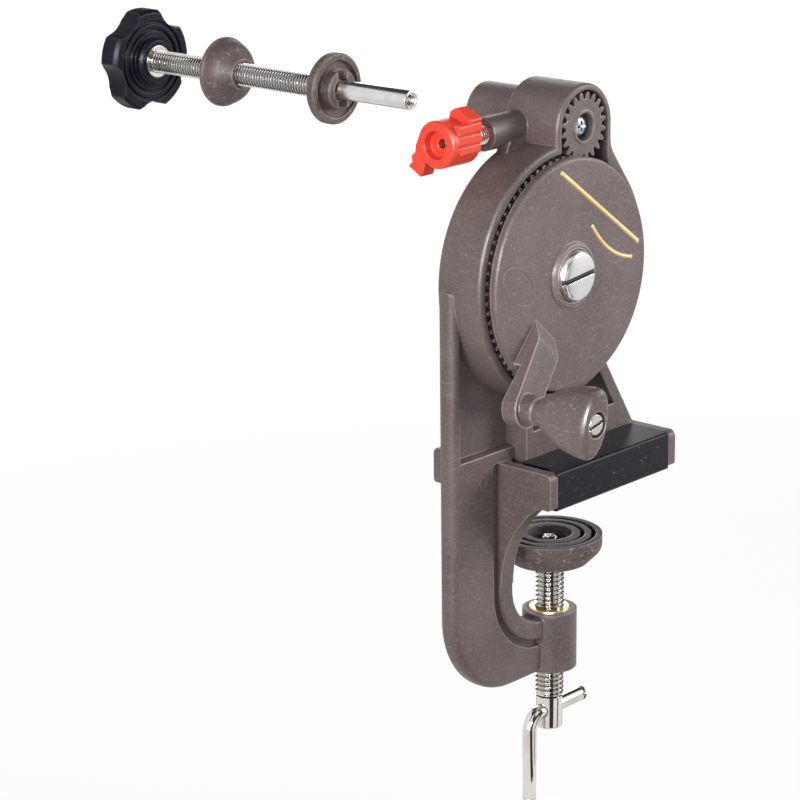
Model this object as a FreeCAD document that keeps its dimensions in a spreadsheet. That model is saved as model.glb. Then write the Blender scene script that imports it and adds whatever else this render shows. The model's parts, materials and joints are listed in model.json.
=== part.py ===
import FreeCAD, Part
import math
import os
import Sketcher

# Hand-cranked fishing line winder on a table clamp. A moulded C-frame carries a
# geared disc with a crank, a small pinion that turns the spool spindle behind
# the frame, a screw brake on the pinion's sleeve, and a clamp screw.
# Row frame: the origin lies on the clamp screw's axis, on the underside of the
# upper jaw. +Z is up, -Y is out of the disc's face, the clamp opens to +X.

doc = FreeCAD.newDocument("LineWinder")
sheet = doc.addObject("Spreadsheet::Sheet", "Size")

# Driving dimensions in millimetres. Y values named ...Y are depths behind the
# face of the disc, and ...X and ...Z are measured from the disc's axis. A text
# is a formula: the size follows from others.
dimensions = {
    # fits
    "runClearance": 0.06,       # radial, shafts in bores
    "seatClearance": 0.04,      # fixed pieces in their seats
    "gap": 0.3,                 # between moving faces
    # gears
    "toothModule": 1.0,
    "wheelTeeth": 72,
    "pinionTeeth": 20,
    "pinionLean": 12.5,         # degrees, pinion to the right of straight up
    "gearFrontY": 3.8,
    "gearWidth": 7.6,
    "pressureAngle": 20.0,
    "backlash": 0.08,
    "toothRound": 0.25,         # tips broken
    "wheelPhase": 114.4,        # degrees of one of the wheel's teeth from +X
    "centreDistance": "=toothModule * (wheelTeeth + pinionTeeth) / 2",
    # drum and head of the frame
    "frameBackY": 20.0,
    "rimY": 3.4,                # front rim of the drum and of the head
    "drumWall": 2.5,
    "drumRoom": 1.3,            # between the drum's wall and the teeth
    "drumRadius": "=toothModule * (wheelTeeth + 2) / 2 + drumRoom + drumWall",
    "drumFloorY": 16.4,
    "rimRound": 1.2,
    "headWall": 1.9,
    "headRoom": 0.7,
    "headRadius": "=toothModule * (pinionTeeth + 2) / 2 + headRoom + headWall",
    "headFloorY": 14.0,
    "headBackY": 24.7,
    "neckFlare": 8.0,
    "neckFoot": 32.7,           # degrees, where the head's right flank meets the drum
    "tubeWall": 3.8,            # boss that carries the pinion's sleeve
    "tubeRadius": "=sleeveRadius + tubeWall",
    "tubeEndY": 44.0,
    "postRadius": 7.0,
    # clamp's C: jaw, throat and arm, one below the other
    "clampX": 9.5,              # clamp screw to the right of the disc's axis
    "legFrontY": 13.4,
    "clampY": "=(legFrontY + frameBackY) / 2",
    "trussHeight": 18.7,        # from the drum down to the jaw
    "jawHeight": 12.6,
    "jawDrop": "=drumRadius + trussHeight + jawHeight",
    "throatHeight": 46.3,
    "armHeight": 18.6,
    "legBottomZ": "=-(jawDrop + throatHeight + armHeight)",
    "armTopZ": "=legBottomZ + armHeight",
    # leg
    "legProud": 1.2,            # leg's side outside the drum
    "legLeftX": "=-(drumRadius + legProud)",
    "legCorner": 29.0,
    "legEdgeRound": 2.6,
    "throatX": -14.0,
    "throatCorner": 15.0,
    "beadWidth": 6.0,
    "beadProud": 0.8,
    "beadRound": 0.7,
    "grooveWidth": 2.6,
    "grooveDepth": 1.4,
    "legWall": 3.4,
    "panelLeftX": "=legLeftX + legWall",
    "panelFloor": 4.0,          # panel's lower edge above the jaw
    "webFrontY": 17.4,
    # truss between the drum and the jaw
    "trussFrontY": 8.8,
    "ribLeftX": -11.8,
    "ribWidth": 3.0,
    "chordHeight": 8.7,
    "strutAngle": 50.8,         # degrees below +X, where it leaves the drum
    "strutTopX": "=drumRadius * cos(strutAngle)",
    "strutTopZ": "=-drumRadius * sin(strutAngle)",
    "strutFootX": 43.0,
    "strutWidth": 4.6,
    # jaw
    "jawHalfDepth": 24.3,
    "jawLeftX": -20.0,
    "jawRightX": 44.5,
    "endWall": 3.6,
    "tongueInset": 3.2,
    "tongueHeight": 6.0,
    "jawTopRound": 2.2,
    "jawFootRound": 1.2,
    "rubberProud": 0.8,
    "rubberRound": 0.8,
    "gussetDrop": 28.9,
    "gussetInset": 5.1,
    # clamp
    "clampRadius": 4.76,        # 3/8 inch screw
    "insertWall": 2.04,
    "insertRadius": "=clampRadius + insertWall",
    "insertLip": 0.6,
    "bossWall": 2.2,
    "bossRadius": "=insertRadius + bossWall",
    "bossRise": 1.4,            # boss above the arm
    "bossTopZ": "=armTopZ + bossRise",
    "clampBelow": 22.2,         # screw's end below the boss
    "clampEndZ": "=legBottomZ - clampBelow",
    "clampFootRadius": 4.36,    # plain end below the thread
    "clampFootLength": 11.3,
    "clampTip": 2.3,
    "rivetProud": 1.1,
    "rivetHeight": 1.6,
    "clampOpening": 18.9,       # from the jaw down to the pad
    "padTopZ": "=-(jawDrop + clampOpening)",
    "padRadius": 17.2,
    "padHeight": 9.4,
    "padRound": 4.6,
    "padRingWidth": 2.1,
    "padGrooveWidth": 1.5,
    "padGrooveDepth": 3.0,
    "padCup": 7.4,
    "padFloor": 3.2,
    "barRadius": 2.3,
    "barBend": 5.5,
    "barRight": 18.0,
    "barLeft": "=clampRadius + barBend",
    "barDrop": 30.0,
    "barUpZ": 6.5,
    # disc with its crank
    "discRadius": "=toothModule * (wheelTeeth + 2) / 2",
    "discThick": 2.6,
    "discEdgeRound": 0.8,
    "neckStep": 0.75,           # neck behind the disc below the teeth's roots
    "wheelRoot": "=toothModule * (wheelTeeth - 2.5) / 2",
    "rimWall": 5.25,
    "wheelWeb": 3.0,
    "hubRadius": 9.0,
    "hubRingRadius": 10.3,
    "hubRingProud": 1.1,
    "hubRingBevel": 0.5,
    "axleRadius": 4.0,
    "axleHeadRadius": 8.2,
    "axleHeadThick": 3.0,
    "axleHeadSink": 0.8,
    "washerRadius": 8.0,
    "washerThick": 1.0,
    "nutFlats": 12.8,
    "nutHeight": 4.0,
    "axleTail": 1.0,            # bolt's end beyond the nut
    "slotWidth": 1.5,
    "slotDepth": 1.3,
    "slotTurn": 6.0,
    "crankAngle": 227.8,        # degrees from +X
    "crankReach": 46.9,
    "crankStart": 20.1,
    "crankBackY": -2.6,
    "crankEndRadius": 6.2,
    "crankRootWidth": 12.6,
    "crankRiseX": 25.4,         # arm's front rises steeply up to here,
    "crankRise": 4.6,           # to this height above the disc,
    "crankTipRise": 8.7,        # and gently on to this at its tip
    "crankBend": 5.0,
    "collarRadius": 4.6,
    "collarY": -12.8,           # front of the collar that the grip turns against
    "collarBevel": 0.5,
    # grip
    "gripNeckRadius": 4.2,
    "gripLength": 22.0,
    "gripWide": 11.2,
    "gripThin": 6.1,
    "gripNeckLength": 2.6,      # grip's sections from the neck to the end
    "gripNeckWide": 5.5,
    "gripNeckThin": 4.8,
    "gripSwellAt": 7.7,
    "gripSwellWide": 8.7,
    "gripSwellThin": 5.6,
    "gripBellyAt": 14.3,
    "gripBellyWide": 10.6,
    "gripFullAt": 19.1,
    "gripEndWide": 10.4,
    "gripEndThin": 5.7,
    "gripScrewRadius": 2.4,
    "gripHeadRadius": 3.5,
    "gripHeadThick": 2.2,
    "gripRecessRadius": 4.1,
    "gripRecessDepth": 2.6,
    "gripSlotWidth": 1.0,
    "gripSlotDepth": 0.9,
    "gripEndRound": 2.4,
    "gripTurn": -16.0,
    "gripScrewTurn": 13.0,
    # pinion
    "pinionRing": 5.3,
    "pinionEye": 4.5,
    "pinionWebY": 7.2,
    "sleeveRadius": 6.2,
    "sleeveStartY": 12.2,
    "dogWidth": 3.8,
    "dogReach": "=sqrt(sleeveRadius * sleeveRadius - dogWidth * dogWidth / 4)",
    "dogLength": 2.2,
    "screwRadius": 2.0,
    "screwHeadRadius": 3.4,
    "screwHeadThick": 2.4,
    "screwLength": 14.0,
    "crossWidth": 0.9,
    "crossDepth": 1.2,
    # spindle, drawn out of the sleeve
    "spindleDraw": 60.0,
    "plainRadius": 3.25,
    "plainLength": 31.0,
    "tapDepth": 12.0,
    "rodRadius": 4.0,
    "rodLength": 112.0,
    "rodBevel": 0.8,
    "flangeRadius": 12.0,
    "flangeThick": 2.6,
    "flangeRim": 2.15,
    "flangeDish": 1.2,
    "flangeSeat": 3.0,          # rod's shoulder inside the hub
    "flangeHub": 6.7,
    "flangeHubLength": 3.4,
    "coneY": 154.0,
    "coneRadius": 12.0,
    "coneNoseWall": 1.1,
    "coneNoseLip": 0.5,
    "coneHeight": 9.0,
    "coneBand": 1.3,
    "coneWall": 1.6,
    "coneBellyAt": 3.8,
    "coneBelly": 10.3,
    "knobY": 196.0,
    "knobRadius": 18.0,
    "knobLobes": 5,
    "knobScallop": 9.5,
    "knobScallopOut": 5.9,      # scallop's centre outside the rim
    "knobPhase": 55.0,
    "knobThick": 9.0,
    "knobEdge": 1.2,
    "knobHub": 8.4,
    "knobHubProud": 3.0,
    "knobRingStart": 10.4,
    "knobRingWidth": 1.3,
    "knobRingDepth": 0.9,
    "nutWall": 1.6,
    "nutLength": 8.0,
    # brake
    "brakeY": 20.6,
    "brakeTubeLength": 29.26,   # from the pinion's axis
    "brakeTubeEndX": "=centreDistance * sin(pinionLean) - brakeTubeLength",
    "brakeTubeRadius": 5.3,
    "brakeWebReach": 9.9,       # web under the tube, to the left of the head
    "brakeScrewRadius": 3.0,
    "brakeShoeLength": 3.0,
    "brakeShoeRadius": 2.6,
    "brakeKnobGap": 8.6,
    "brakeKnobRadius": 7.4,
    "brakeKnobLength": 13.0,
    "brakeKnobRound": 0.6,
    "brakeKnobEye": 4.5,
    "brakeEyeDepth": 3.0,
    "brakeEyeHole": 1.5,
    "brakeWingWidth": 5.2,
    "brakeFlatLength": 10.0,    # flat with the finger grooves
    "brakeGrooveWidth": 0.9,
    "brakeGrooveDepth": 0.7,
    "brakeGrooveStep": 3.3,
    "brakeScrewHold": 9.0,
}
for row, alias in enumerate(dimensions, start=1):
    sheet.set(f"A{row}", alias)
    sheet.setAlias(f"B{row}", alias)
for row, number in enumerate(dimensions.values(), start=1):
    sheet.set(f"B{row}", str(number))
doc.recompute()


def bound(text):
    """Put the sheet's name before each alias in an expression."""
    words = []
    word = ""
    for letter in str(text) + " ":
        if letter.isalnum():
            word += letter
            continue
        words.append(f"Size.{word}" if word in dimensions else word)
        words.append(letter)
        word = ""
    return "".join(words).strip()


def value(text):
    """Number that an expression of the sheet's aliases gives."""
    return float(sheet.evalExpression(bound(text)))


def newBody(name, x="0", y="0", z="0"):
    """Body whose origin is given from the disc's axis, on the disc's face."""
    body = doc.addObject("PartDesign::Body", name)
    body.Label = name
    body.setExpression("Placement.Base.x", bound(f"({x}) - clampX"))
    body.setExpression("Placement.Base.y", bound(f"({y}) - clampY"))
    body.setExpression("Placement.Base.z", bound(f"({z}) + jawDrop"))
    return body


def newSketch(body, plane, height="0"):
    """Sketch parallel to one of the body's own planes, raised along its normal."""
    name = f"{body.Name}Sketch{len(body.Group)}"
    sketch = body.newObject("Sketcher::SketchObject", name)
    support = [item for item in body.Origin.OriginFeatures if item.Role == plane][0]
    sketch.AttachmentSupport = (support, [""])
    sketch.MapMode = "FlatFace"
    sketch.setExpression("AttachmentOffset.Base.z", bound(height))
    return sketch


def pin(sketch, kind, geometry, point, text):
    """Dimension from the sketch's origin, bound to an expression."""
    index = sketch.addConstraint(Sketcher.Constraint(kind, -1, 1, geometry, point, value(text)))
    sketch.setExpression(f"Constraints[{index}]", bound(text))


def addCircle(sketch, x, y, radius):
    centre = FreeCAD.Vector(value(x), value(y), 0)
    circle = Part.Circle(centre, FreeCAD.Vector(0, 0, 1), value(radius))
    geometry = sketch.addGeometry(circle, False)
    pin(sketch, "DistanceX", geometry, 3, x)
    pin(sketch, "DistanceY", geometry, 3, y)
    index = sketch.addConstraint(Sketcher.Constraint("Radius", geometry, value(radius)))
    sketch.setExpression(f"Constraints[{index}]", bound(radius))


def addOutline(sketch, corners):
    """Closed outline of straight sides; a corner (x, y, r) is rounded by r."""
    count = len(corners)
    points = [FreeCAD.Vector(value(c[0]), value(c[1]), 0) for c in corners]
    radii = [value(c[2]) if len(c) > 2 else 0 for c in corners]
    ends = []
    for i in range(count):
        before = (points[i - 1] - points[i]).normalize()
        after = (points[(i + 1) % count] - points[i]).normalize()
        reach = 0
        if radii[i]:
            reach = radii[i] / math.tan(before.getAngle(after) / 2)
        ends.append((points[i] + before * reach, points[i] + after * reach, before, after))
    sides = []
    for i in range(count):
        line = Part.LineSegment(ends[i][1], ends[(i + 1) % count][0])
        sides.append(sketch.addGeometry(line, False))
    for i in range(count):
        arriving = sides[i - 1]
        leaving = sides[i]
        if not radii[i]:
            sketch.addConstraint(Sketcher.Constraint("Coincident", arriving, 2, leaving, 1))
            pin(sketch, "DistanceX", leaving, 1, corners[i][0])
            pin(sketch, "DistanceY", leaving, 1, corners[i][1])
            continue
        start, end, before, after = ends[i]
        half = before.getAngle(after) / 2
        bisector = (before + after).normalize()
        middle = points[i] + bisector * (radii[i] / math.sin(half) - radii[i])
        first, last = 1, 2
        if (middle - start).cross(end - start).z < 0:
            start, end = end, start
            first, last = 2, 1
        curve = sketch.addGeometry(Part.Arc(start, middle, end), False)
        sketch.addConstraint(Sketcher.Constraint("Tangent", arriving, 2, curve, first))
        sketch.addConstraint(Sketcher.Constraint("Tangent", leaving, 1, curve, last))
        index = sketch.addConstraint(Sketcher.Constraint("Radius", curve, radii[i]))
        sketch.setExpression(f"Constraints[{index}]", bound(corners[i][2]))
        corner = sketch.addGeometry(Part.Point(points[i]), True)
        pin(sketch, "DistanceX", corner, 1, corners[i][0])
        pin(sketch, "DistanceY", corner, 1, corners[i][1])
        sketch.addConstraint(Sketcher.Constraint("PointOnObject", corner, 1, arriving))
        sketch.addConstraint(Sketcher.Constraint("PointOnObject", corner, 1, leaving))


def addFeature(body, kind, sketch, length="0"):
    feature = body.newObject(f"PartDesign::{kind}", f"{body.Name}{kind}{len(body.Group)}")
    feature.Profile = sketch
    if kind in ("Pad", "Pocket"):
        feature.setExpression("Length", bound(length))
    sketch.Visibility = False
    return feature


def depthSketch(body, frontY):
    """Sketch in X and Z at a depth; its normal points to the front."""
    return newSketch(body, "XZ_Plane", f"-({frontY})")


def padDepth(body, backY, frontY, corners=None, circles=()):
    """Pad an X-Z shape from one depth forward to another."""
    sketch = depthSketch(body, backY)
    if corners:
        addOutline(sketch, corners)
    for circle in circles:
        addCircle(sketch, *circle)
    return addFeature(body, "Pad", sketch, f"({backY}) - ({frontY})")


def cutDepth(body, frontY, backY, corners=None, circles=()):
    """Cut an X-Z shape from one depth back to another."""
    sketch = depthSketch(body, frontY)
    if corners:
        addOutline(sketch, corners)
    for circle in circles:
        addCircle(sketch, *circle)
    return addFeature(body, "Pocket", sketch, f"({backY}) - ({frontY})")


def padHeight(body, bottomZ, topZ, corners=None, circles=()):
    """Pad an X-Y shape from one height up to another."""
    sketch = newSketch(body, "XY_Plane", bottomZ)
    if corners:
        addOutline(sketch, corners)
    for circle in circles:
        addCircle(sketch, *circle)
    return addFeature(body, "Pad", sketch, f"({topZ}) - ({bottomZ})")


def cutHeight(body, topZ, bottomZ, corners=None, circles=()):
    """Cut an X-Y shape from one height down to another."""
    sketch = newSketch(body, "XY_Plane", topZ)
    if corners:
        addOutline(sketch, corners)
    for circle in circles:
        addCircle(sketch, *circle)
    return addFeature(body, "Pocket", sketch, f"({topZ}) - ({bottomZ})")


def turn(body, plane, axis, corners, kind="Revolution"):
    """Revolve a half profile about the body's own axis."""
    sketch = newSketch(body, plane)
    addOutline(sketch, corners)
    feature = addFeature(body, kind, sketch)
    support = [item for item in body.Origin.OriginFeatures if item.Role == axis][0]
    feature.ReferenceAxis = (support, [""])
    feature.Angle = 360
    return feature


def turnDepth(body, corners, kind="Revolution"):
    """Turned shape about Y: corners are (radius, depth)."""
    return turn(body, "XY_Plane", "Y_Axis", corners, kind)


def turnHeight(body, corners, kind="Revolution"):
    """Turned shape about Z: corners are (radius, height)."""
    return turn(body, "XZ_Plane", "Z_Axis", corners, kind)


def turnAcross(body, corners, kind="Revolution"):
    """Turned shape about X: corners are (x, radius)."""
    return turn(body, "XZ_Plane", "X_Axis", corners, kind)


def roundEdges(body, radius, chosen, kind="Fillet"):
    """Round or bevel the edges of the body's tip that a test picks."""
    doc.recompute()
    base = body.Tip
    edges = base.Shape.Edges
    names = [f"Edge{i + 1}" for i, edge in enumerate(edges) if chosen(edge)]
    feature = body.newObject(f"PartDesign::{kind}", f"{body.Name}{kind}{len(body.Group)}")
    feature.Base = (base, names)
    feature.setExpression("Radius" if kind == "Fillet" else "Size", bound(radius))
    return feature


def onDepth(edge, depth):
    """True for an edge that lies wholly at one local depth."""
    box = edge.BoundBox
    return abs(box.YMin - value(depth)) < 1e-4 and abs(box.YMax - value(depth)) < 1e-4


def isRing(edge, radius):
    """True for a full circle of one radius."""
    curve = edge.Curve
    return isinstance(curve, Part.Circle) and edge.Closed and abs(curve.Radius - value(radius)) < 1e-4


# places that several pieces share
pinionX = "centreDistance * sin(pinionLean * 1deg)"
pinionZ = "centreDistance * cos(pinionLean * 1deg)"
crankX = "crankReach * cos(crankAngle * 1deg)"
crankZ = "crankReach * sin(crankAngle * 1deg)"
jawTopZ = "jawHeight - jawDrop"
jawFrontY = "clampY - jawHalfDepth"
jawBackY = "clampY + jawHalfDepth"
gussetFrontY = f"{jawFrontY} + gussetInset"
chordTopZ = f"{jawTopZ} + chordHeight"
panelBottomZ = f"{jawTopZ} + panelFloor"
legBackY = "frameBackY"
gripBaseY = "collarY - gap"
gripEndY = f"{gripBaseY} - gripLength"
sleeveEndY = "tubeEndY + gap"
flangeY = f"{sleeveEndY} + dogLength + gap + spindleDraw"


def gearTeeth(teeth, phase):
    """Closed wire in X-Z of a spur gear; phase turns its first tooth, degrees."""
    module = value("toothModule")
    pressure = math.radians(value("pressureAngle"))
    pitch = module * teeth / 2
    base = pitch * math.cos(pressure)
    tip = pitch + module
    root = pitch - 1.25 * module
    halfTooth = (math.pi * module / 2 - value("backlash")) / 2 / pitch

    def involute(radius):
        angle = math.acos(min(1, base / radius))
        return math.tan(angle) - angle

    def at(radius, angle):
        return FreeCAD.Vector(radius * math.cos(angle), value("gearFrontY"), radius * math.sin(angle))

    # the involute as straight steps from the root up to the broken tip
    levels = (max(base, root), pitch, tip - value("toothRound"))
    spread = [halfTooth + involute(pitch) - involute(radius) for radius in levels]
    levels = (root, *levels, tip)
    spread = (spread[0], *spread, spread[-1] - value("toothRound") / pitch)
    points = []
    for tooth in range(teeth):
        middle = math.radians(phase) + tooth * 2 * math.pi / teeth
        points += [at(radius, middle - angle) for radius, angle in zip(levels, spread)]
        points += [at(radius, middle + angle) for radius, angle in reversed(list(zip(levels, spread)))]
    distinct = [point for i, point in enumerate(points) if point.distanceToPoint(points[i - 1]) > 1e-4]
    return Part.makePolygon(distinct + distinct[:1])


def gearBlank(teeth, phase):
    """Solid spur gear of the shared width; phase is an expression."""
    face = Part.Face(gearTeeth(teeth, value(phase)))
    return face.extrude(FreeCAD.Vector(0, value("gearWidth"), 0))


def seedBody(body, shape):
    """Start a body from a ready shape, so that features can follow it."""
    seed = doc.addObject("Part::Feature", f"{body.Name}Blank")
    seed.Shape = shape
    body.BaseFeature = seed
    doc.recompute()


# ---- frame: one moulding with leg, drum, head, jaw and clamp boss ----

def isLegRim(edge):
    """True for the leg's outer edges, on its left side, corner and bottom."""
    box = edge.BoundBox
    onFace = onDepth(edge, "legFrontY") or onDepth(edge, legBackY)
    onBottom = box.ZMax < value("legBottomZ") + 0.1
    return onFace and (onBottom or (box.XMin < value("legLeftX") + 0.1 and box.XMax < 0))


def makeMainFrame():
    body = newBody("main_frame")
    padDepth(body, legBackY, "legFrontY", [
        ("legLeftX", "0"), ("legLeftX", "legBottomZ", "legCorner"), ("clampX", "legBottomZ"),
        ("clampX", "armTopZ"), ("throatX", "armTopZ", "throatCorner"),
        ("throatX", jawTopZ), ("ribLeftX", jawTopZ), ("ribLeftX", "0")])
    roundEdges(body, "legEdgeRound", isLegRim)
    cutDepth(body, "legFrontY", "webFrontY", [
        ("panelLeftX", "0"), ("panelLeftX", panelBottomZ), ("ribLeftX", panelBottomZ), ("ribLeftX", "0")])
    # groove along the bead that lines the throat
    cutDepth(body, "legFrontY", "legFrontY + grooveDepth", [
        ("throatX - beadWidth - grooveWidth", jawTopZ),
        ("throatX - beadWidth - grooveWidth", "armTopZ - beadWidth - grooveWidth",
         "throatCorner + beadWidth + grooveWidth"),
        ("clampX", "armTopZ - beadWidth - grooveWidth"), ("clampX", "armTopZ"), ("throatX", "armTopZ"),
        ("throatX", jawTopZ)])
    # bead round the throat, proud on both faces
    padDepth(body, f"{legBackY} + beadProud", "legFrontY - beadProud", [
        ("throatX - beadWidth", jawTopZ),
        ("throatX - beadWidth", "armTopZ - beadWidth", "throatCorner + beadWidth"),
        ("clampX", "armTopZ - beadWidth"), ("clampX", "armTopZ"),
        ("throatX", "armTopZ", "throatCorner"), ("throatX", jawTopZ)])
    roundEdges(body, "beadRound", lambda edge: onDepth(edge, "legFrontY - beadProud"))
    makeDrum(body)
    makeTruss(body)
    makeJaw(body)
    # clamp boss on the arm's end, bored for the brass insert
    padHeight(body, "legBottomZ", "bossTopZ", circles=[("clampX", "clampY", "bossRadius")])
    cutHeight(body, "bossTopZ", "legBottomZ", circles=[("clampX", "clampY", "insertRadius + seatClearance")])
    return body


def makeDrum(body):
    """Drum for the geared disc, head for the pinion and its bearing boss."""
    padDepth(body, legBackY, "rimY", circles=[("0", "0", "drumRadius")])
    padDepth(body, legBackY, "rimY", [
        (f"{pinionX} - headRadius", pinionZ), (f"{pinionX} + headRadius", pinionZ),
        (f"{pinionX} + headRadius", "drumRadius - neckFlare * 0.5", "neckFlare"),
        ("drumRadius * cos(neckFoot * 1deg)", "drumRadius * sin(neckFoot * 1deg)"),
        ("0", "0"), (f"{pinionX} - headRadius", "drumRadius * 0.8")])
    padDepth(body, legBackY, "rimY", circles=[(pinionX, pinionZ, "headRadius")])
    roundEdges(body, "rimRound", lambda edge: onDepth(edge, "rimY"))
    padDepth(body, "headBackY", legBackY, circles=[(pinionX, pinionZ, "headRadius")])
    padDepth(body, "tubeEndY", legBackY, circles=[(pinionX, pinionZ, "tubeRadius")])
    # brake tube to the left of the head
    sketch = newSketch(body, "YZ_Plane", "brakeTubeEndX")
    addCircle(sketch, "brakeY", pinionZ, "brakeTubeRadius")
    addFeature(body, "Pad", sketch, f"{pinionX} - brakeTubeEndX")
    # web between the tube and the drum
    webX = f"{pinionX} - headRadius - brakeWebReach"
    padDepth(body, legBackY, "brakeY - brakeTubeRadius * 0.9", [
        (webX, "drumRadius * 0.85"), (webX, f"{pinionZ} - brakeTubeRadius * 1.3"),
        (f"{webX} + 2.5", f"{pinionZ} - brakeTubeRadius * 0.4"),
        (pinionX, f"{pinionZ} - brakeTubeRadius * 0.4"), (pinionX, "drumRadius * 0.85")])
    # room inside
    cutDepth(body, "rimY", "drumFloorY", circles=[("0", "0", "drumRadius - drumWall")])
    cutDepth(body, "rimY", "headFloorY", circles=[(pinionX, pinionZ, "headRadius - headWall")])
    cutDepth(body, "rimY", "headFloorY", [
        (f"{pinionX} - headRadius + headWall", pinionZ), (f"{pinionX} + headRadius - headWall", pinionZ),
        (f"{pinionX} + headRadius - headWall", "drumRadius * 0.6"),
        (f"{pinionX} - headRadius + headWall", "drumRadius * 0.6")])
    padDepth(body, "drumFloorY", "gearFrontY + gearWidth + gap * 2", circles=[("0", "0", "postRadius")])
    cutDepth(body, "rimY", legBackY, circles=[("0", "0", "axleRadius + seatClearance")])
    cutDepth(body, "rimY", "tubeEndY", circles=[(pinionX, pinionZ, "sleeveRadius + runClearance")])
    sketch = newSketch(body, "YZ_Plane", pinionX)
    addCircle(sketch, "brakeY", pinionZ, "brakeScrewRadius + runClearance")
    addFeature(body, "Pocket", sketch, f"{pinionX} - brakeTubeEndX")


def makeTruss(body):
    """Rib, strut, lower chord and web between the drum and the jaw."""
    strutTop = ("strutTopX", "strutTopZ")
    strutFoot = ("strutFootX", jawTopZ)
    padDepth(body, legBackY, "webFrontY", [
        ("ribLeftX", "-drumRadius * 0.8"), ("0", "-drumRadius * 0.8"), strutTop, strutFoot,
        ("ribLeftX", jawTopZ)])
    padDepth(body, legBackY, "trussFrontY", [
        strutTop, strutFoot, ("strutFootX - strutWidth", jawTopZ), ("strutTopX - strutWidth", "strutTopZ")])
    padDepth(body, legBackY, "trussFrontY", [
        ("ribLeftX", "-drumRadius * 0.9"), ("ribLeftX", jawTopZ),
        ("ribLeftX + ribWidth", jawTopZ), ("ribLeftX + ribWidth", "-drumRadius * 0.9")])
    padDepth(body, legBackY, "trussFrontY", [
        ("ribLeftX", chordTopZ), ("ribLeftX", f"{jawTopZ} - tongueInset"),
        ("strutFootX", f"{jawTopZ} - tongueInset"),
        ("strutFootX - (strutFootX - strutTopX) * 0.3", chordTopZ)])


def makeJaw(body):
    """Upper jaw: end walls, the tongue that the rubber shoe grips, gussets."""
    for left in ("jawLeftX", "jawRightX - endWall"):
        sketch = newSketch(body, "YZ_Plane", left)
        addOutline(sketch, [
            (jawFrontY, jawTopZ, "jawTopRound"), (jawFrontY, "rubberProud - jawDrop", "jawFootRound"),
            (jawBackY, "rubberProud - jawDrop", "jawFootRound"), (jawBackY, jawTopZ, "jawTopRound")])
        addFeature(body, "Pad", sketch, "endWall")
    sketch = newSketch(body, "YZ_Plane", "jawLeftX + endWall")
    addOutline(sketch, [
        (f"{jawFrontY} + tongueInset", f"{jawTopZ} - tongueInset"),
        (f"{jawFrontY} + tongueInset", f"{jawTopZ} - tongueInset - tongueHeight"),
        (f"{jawBackY} - tongueInset", f"{jawTopZ} - tongueInset - tongueHeight"),
        (f"{jawBackY} - tongueInset", f"{jawTopZ} - tongueInset")])
    addFeature(body, "Pad", sketch, "jawRightX - jawLeftX - endWall * 2")
    # hollow-curved gussets from the leg out to the jaw's left wall
    for side in (1, -1):
        sketch = newSketch(body, "YZ_Plane", "throatX - beadWidth")
        addGusset(sketch, side)
        addFeature(body, "Pad", sketch, "beadWidth")


def addGusset(sketch, side):
    """Hollow-curved triangle on one side of the clamp's middle plane."""
    reach = value("clampY") - value(gussetFrontY)
    middle = value("clampY")
    foot = value("clampY") - value("legFrontY") + value("beadProud")
    top = value("rubberProud") - value("jawDrop")
    bottom = value("-jawDrop - gussetDrop")
    width = reach - foot
    drop = top - bottom
    radius = (width ** 2 + drop ** 2) / (2 * width)
    sweep = math.asin(drop / radius)
    tip = FreeCAD.Vector(middle - side * reach, top, 0)
    root = FreeCAD.Vector(middle - side * foot, bottom, 0)
    centre = FreeCAD.Vector(middle - side * (foot + radius), bottom, 0)
    belly = centre + FreeCAD.Vector(side * radius * math.cos(sweep / 2), radius * math.sin(sweep / 2), 0)
    inner = FreeCAD.Vector(middle, bottom, 0)
    upper = FreeCAD.Vector(middle, top, 0)
    sketch.addGeometry([
        Part.Arc(tip, belly, root), Part.LineSegment(root, inner),
        Part.LineSegment(inner, upper), Part.LineSegment(upper, tip)], False)


def makeJawRubber():
    """Shoe of rubber round the jaw's tongue, open on top round the truss."""
    body = newBody("jaw_rubber")
    outerLeft = "jawLeftX + endWall + seatClearance"
    length = "jawRightX - jawLeftX - endWall * 2 - seatClearance * 2"
    sketch = newSketch(body, "YZ_Plane", outerLeft)
    addOutline(sketch, [
        (jawFrontY, jawTopZ, "rubberRound"), (jawFrontY, "-jawDrop", "rubberRound"),
        (jawBackY, "-jawDrop", "rubberRound"), (jawBackY, jawTopZ, "rubberRound")])
    addFeature(body, "Pad", sketch, length)
    sketch = newSketch(body, "YZ_Plane", outerLeft)
    tongueTop = f"{jawTopZ} - tongueInset + seatClearance"
    tongueBottom = f"{jawTopZ} - tongueInset - tongueHeight - seatClearance"
    front = f"{jawFrontY} + tongueInset - seatClearance"
    back = f"{jawBackY} - tongueInset + seatClearance"
    chordFront = "trussFrontY - seatClearance"
    chordBack = "frameBackY + seatClearance"
    addOutline(sketch, [
        (front, tongueTop), (front, tongueBottom), (back, tongueBottom), (back, tongueTop),
        (chordBack, tongueTop), (chordBack, f"{jawTopZ} + 1"),
        (chordFront, f"{jawTopZ} + 1"), (chordFront, tongueTop)])
    feature = addFeature(body, "Pocket", sketch, length)
    feature.Reversed = True
    # clear of the leg and its bead where they run up through the jaw
    cutHeight(body, f"{jawTopZ} + 1", "-jawDrop - 1", [
        ("jawLeftX", f"{gussetFrontY} - 1"), ("throatX + seatClearance", f"{gussetFrontY} - 1"),
        ("throatX + seatClearance", f"clampY * 2 - ({gussetFrontY}) + 1"),
        ("jawLeftX", f"clampY * 2 - ({gussetFrontY}) + 1")])
    return body


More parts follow.
